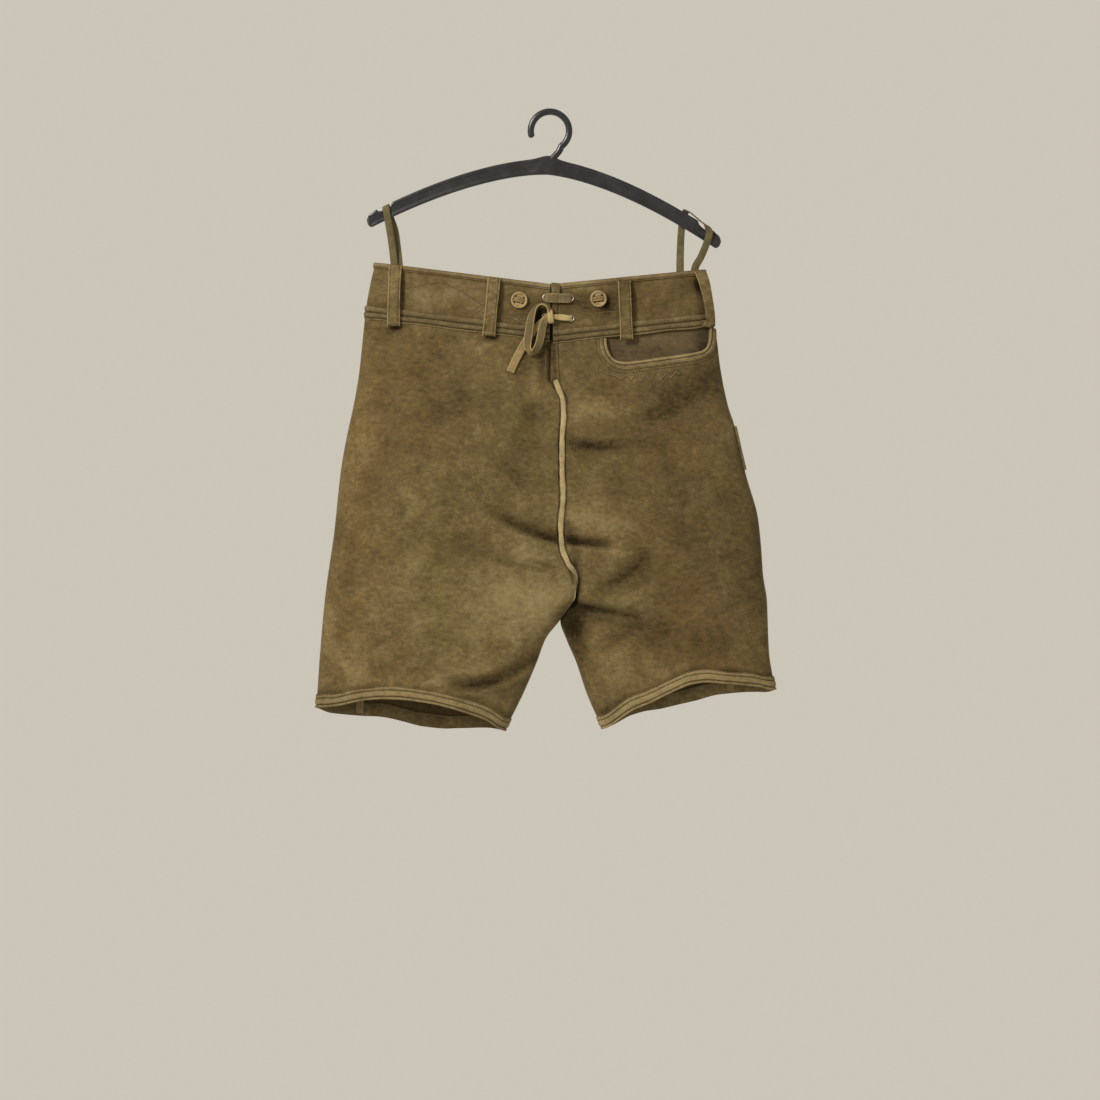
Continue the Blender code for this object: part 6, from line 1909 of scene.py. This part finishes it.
def build_stage():
    """Pale floor below the trousers, soft lights, pale surround and the camera."""
    scene = bpy.context.scene
    stage = scene.hanging_stage
    reach = FLOOR_REACH
    corners = ((-reach, -reach), (reach, -reach), (reach, reach), (-reach, reach))
    mesh = bpy.data.meshes.new("floor")
    mesh.from_pydata([(x, y, -stage.floor_drop) for x, y in corners], [], [(0, 1, 2, 3)])
    floor = bpy.data.objects.new("floor", mesh)
    scene.collection.objects.link(floor)
    pale = Finish("floor_paint")
    cloud = pale.noise(3.0, 2.0)
    pale.dress(pale.blend(cloud, (0.78, 0.77, 0.75), (0.82, 0.81, 0.79)), 0.8 + 0.1 * cloud)
    mesh.materials.append(pale.material)

    world = bpy.data.worlds.new("surround")
    world.use_nodes = True
    back = world.node_tree.nodes["Background"]
    back.inputs["Color"].default_value = (*stage.surround, 1.0)
    back.inputs["Strength"].default_value = stage.surround_strength
    scene.world = world
    for name, (place, size, share_of_key, colour) in LIGHTS.items():
        data = bpy.data.lights.new(name, "AREA")
        data.shape = "SQUARE"
        data.size = size
        data.energy = stage.key_power * share_of_key
        data.color = colour
        light = bpy.data.objects.new(name, data)
        light.location = place
        light.visible_camera = False
        light.rotation_euler = (Vector(LIT) - Vector(place)).to_track_quat("-Z", "Y").to_euler()
        scene.collection.objects.link(light)
    data = bpy.data.cameras.new("camera")
    data.lens = stage.lens
    data.sensor_width = 36.0
    data.clip_end = 50.0
    camera = bpy.data.objects.new("camera", data)
    camera.location = (CAMERA_AT[0], -stage.distance, CAMERA_AT[1])
    camera.rotation_euler = (math.pi / 2, 0, 0)
    scene.collection.objects.link(camera)
    scene.camera = camera
    scene.view_settings.view_transform = "Standard"


# ---------------------------------------------------------------- settings and operators
def length_property(name, about, value):
    return FloatProperty(name=name, description=about, default=value, unit="LENGTH")


def colour_property(name, about, value):
    return FloatVectorProperty(
        name=name, description=about, subtype="COLOR", size=3, min=0.0, max=1.0, default=value)


class LeatherCut(bpy.types.PropertyGroup):
    """Sizes of the leather."""

    wall: length_property("Wall", "Thickness of the body's leather", 0.0018)
    step: length_property("Step", "Spacing of the panels' rows and columns", 0.0026)
    sway: length_property("Sway", "Height of the leather's broad uneven waves", 0.0013)


# Colours: what each is for, value.  The dark and light stops of each suede are reached by its
# tone, which carries painted light and shade besides the leather's own patches; the thong's
# flesh side also paints shade on the bow's strands, and the piping's dark sides paint the shade
# of the seam beside it.
COLOURS = {
    "suede_dark": ("Shaded suede of the body", (0.05, 0.034, 0.013)),
    "suede": ("Middle shade of the body", (0.112, 0.079, 0.031)),
    "suede_light": ("Rubbed suede of the body", (0.205, 0.155, 0.07)),
    "moss": ("Green cast of the body's patches", (0.84, 0.95, 0.66)),
    "rust": ("Red cast of the body's patches", (1.0, 0.86, 0.72)),
    "band_dark": ("Shaded suede of the band", (0.044, 0.029, 0.011)),
    "band": ("Middle shade of the band", (0.102, 0.07, 0.027)),
    "band_light": ("Rubbed suede of the band", (0.188, 0.14, 0.067)),
    "facing_dark": ("Shaded suede of the facing", (0.046, 0.032, 0.016)),
    "facing": ("Middle shade of the facing", (0.108, 0.076, 0.037)),
    "facing_light": ("Rubbed suede of the facing", (0.18, 0.133, 0.07)),
    "trim_dark": ("Shaded bindings and welts", (0.058, 0.041, 0.018)),
    "trim": ("Middle shade of bindings and welts", (0.108, 0.078, 0.034)),
    "trim_light": ("Rubbed bindings and cut edges", (0.245, 0.184, 0.084)),
    "loop": ("Middle shade of the belt loops", (0.106, 0.074, 0.029)),
    "inside": ("Flesh side of the leather", (0.108, 0.074, 0.031)),
    "inside_dark": ("Shaded flesh side", (0.034, 0.022, 0.008)),
    "thong": ("Face of the lacing thong", (0.205, 0.134, 0.046)),
    "thong_back": ("Flesh side of the thong", (0.088, 0.063, 0.024)),
    "thong_cream": ("Rubbed thong of the lower crossing, knot and piping", (0.36, 0.275, 0.115)),
    "thong_edge": ("Cut edges of the thong", (0.37, 0.275, 0.11)),
    "thong_grey": ("Soiled upper crossing", (0.15, 0.107, 0.046)),
    "piping": ("Piping over the centre seam", (0.365, 0.282, 0.128)),
    "piping_dark": ("Sides of the piping, in the seam", (0.06, 0.042, 0.018)),
    "strap": ("Straps over the hanger", (0.116, 0.091, 0.035)),
    "strap_edge": ("Edges of those straps", (0.062, 0.047, 0.02)),
    "button": ("Pressed hide of the buttons", (0.3, 0.208, 0.08)),
    "thread": ("Sewing thread", (0.175, 0.125, 0.055)),
    "thread_dark": ("Thread of the hems", (0.03, 0.019, 0.008)),
    "thread_dim": ("Thread of the band's ornament", (0.04, 0.027, 0.011)),
    "thread_pale": ("Thread of the zigzag", (0.24, 0.185, 0.085)),
}


class LeatherColours(bpy.types.PropertyGroup):
    """Colours of the leathers and threads."""

    __annotations__ = {
        key: colour_property(key.replace("_", ", ").capitalize(), about, value)
        for key, (about, value) in COLOURS.items()
    }


class HangingStage(bpy.types.PropertyGroup):
    """Camera, lights and floor."""

    distance: length_property("Distance", "Camera's distance from the trousers", 6.6)
    lens: FloatProperty(name="Lens", description="Focal length in millimetres", default=180.0)
    floor_drop: length_property("Floor", "Depth of the floor below the hook", 1.95)
    key_power: FloatProperty(
        name="Key light", description="Power of the key light", default=72.0, unit="POWER")
    surround: colour_property("Surround", "Colour of the surround", (0.60, 0.560, 0.482))
    surround_strength: FloatProperty(
        name="Surround strength", description="Brightness of the surround", default=1.0)


def operator(key, label, about, make):
    """An operator class that runs one group's maker."""
    def execute(self, context):
        make()
        return {"FINISHED"}
    members = {
        "__doc__": about, "bl_idname": "lederhosen." + key, "bl_label": label,
        "bl_options": {"REGISTER", "UNDO"}, "execute": execute,
    }
    return type("LEDERHOSEN_OT_" + key, (bpy.types.Operator,), members)


OPERATORS = tuple(operator(*row) for row in (
    ("stage", "Stage", "Add the floor, lights, surround and camera", build_stage),
    ("panels", "Body panels", "Add the four panels of the body", build_panels),
    ("waistband", "Waistband", "Add the band, its rolled edge and welts", build_waistbands),
    ("belt_loops", "Belt loops", "Add the six belt loops", build_belt_loops),
    ("buttons", "Buttons", "Add the four buttons with their thongs", build_buttons),
    ("eyelets", "Eyelets", "Add the four eyelets", build_eyelets),
    ("lacing", "Lacing", "Add the crossing, bow and knot of the thong", build_lacing),
    ("centre_back", "Centre back", "Add the gusset, piping and tab", build_centre_back),
    ("hip_pocket", "Hip pocket", "Add the facing and binding of the hip pocket", build_hip_pocket),
    ("knife_pocket", "Knife pocket", "Add the pouch and flap on the thigh", build_knife_pocket),
    ("drop_front", "Drop front", "Add the buttoned flap of the front", build_drop_front),
    ("hems", "Hems", "Add the bindings of both legs", build_hems),
    ("hanger", "Hanger", "Add the moulded hanger", build_hanger),
    ("hanger_loops", "Hanger loops", "Add the straps over the hanger", build_hanger_loops),
    ("stitching", "Stitching", "Add the rows of stitches", build_stitching),
    ("ornament", "Ornament", "Add the sewn ornament of band and pocket", build_ornament),
))


class LEDERHOSEN_PT_pieces(bpy.types.Panel):
    """Lists the settings and pieces of the lederhosen."""

    bl_label = "Lederhosen"
    bl_idname = "LEDERHOSEN_PT_pieces"
    bl_space_type = "VIEW_3D"
    bl_region_type = "UI"
    bl_category = "Lederhosen"

    def draw(self, context):
        for name in SETTINGS:
            group = getattr(context.scene, name)
            box = self.layout.box()
            for key in group.__annotations__:
                box.prop(group, key)
        for kind in OPERATORS:
            self.layout.operator(kind.bl_idname)


CLASSES = (LeatherCut, LeatherColours, HangingStage, *OPERATORS, LEDERHOSEN_PT_pieces)
SETTINGS = {
    "leather_cut": LeatherCut, "leather_colours": LeatherColours, "hanging_stage": HangingStage,
}


def register():
    for kind in CLASSES:
        bpy.utils.register_class(kind)
    for name, group in SETTINGS.items():
        setattr(bpy.types.Scene, name, PointerProperty(type=group))


def unregister():
    for name in SETTINGS:
        delattr(bpy.types.Scene, name)
    for kind in reversed(CLASSES):
        bpy.utils.unregister_class(kind)


def main():
    register()
    for kind in OPERATORS:
        run = getattr(bpy.ops.lederhosen, kind.bl_idname.split(".")[1])
        if run() != {"FINISHED"}:
            raise RuntimeError(kind.bl_label + " was not built")


if __name__ == "__main__":
    main()
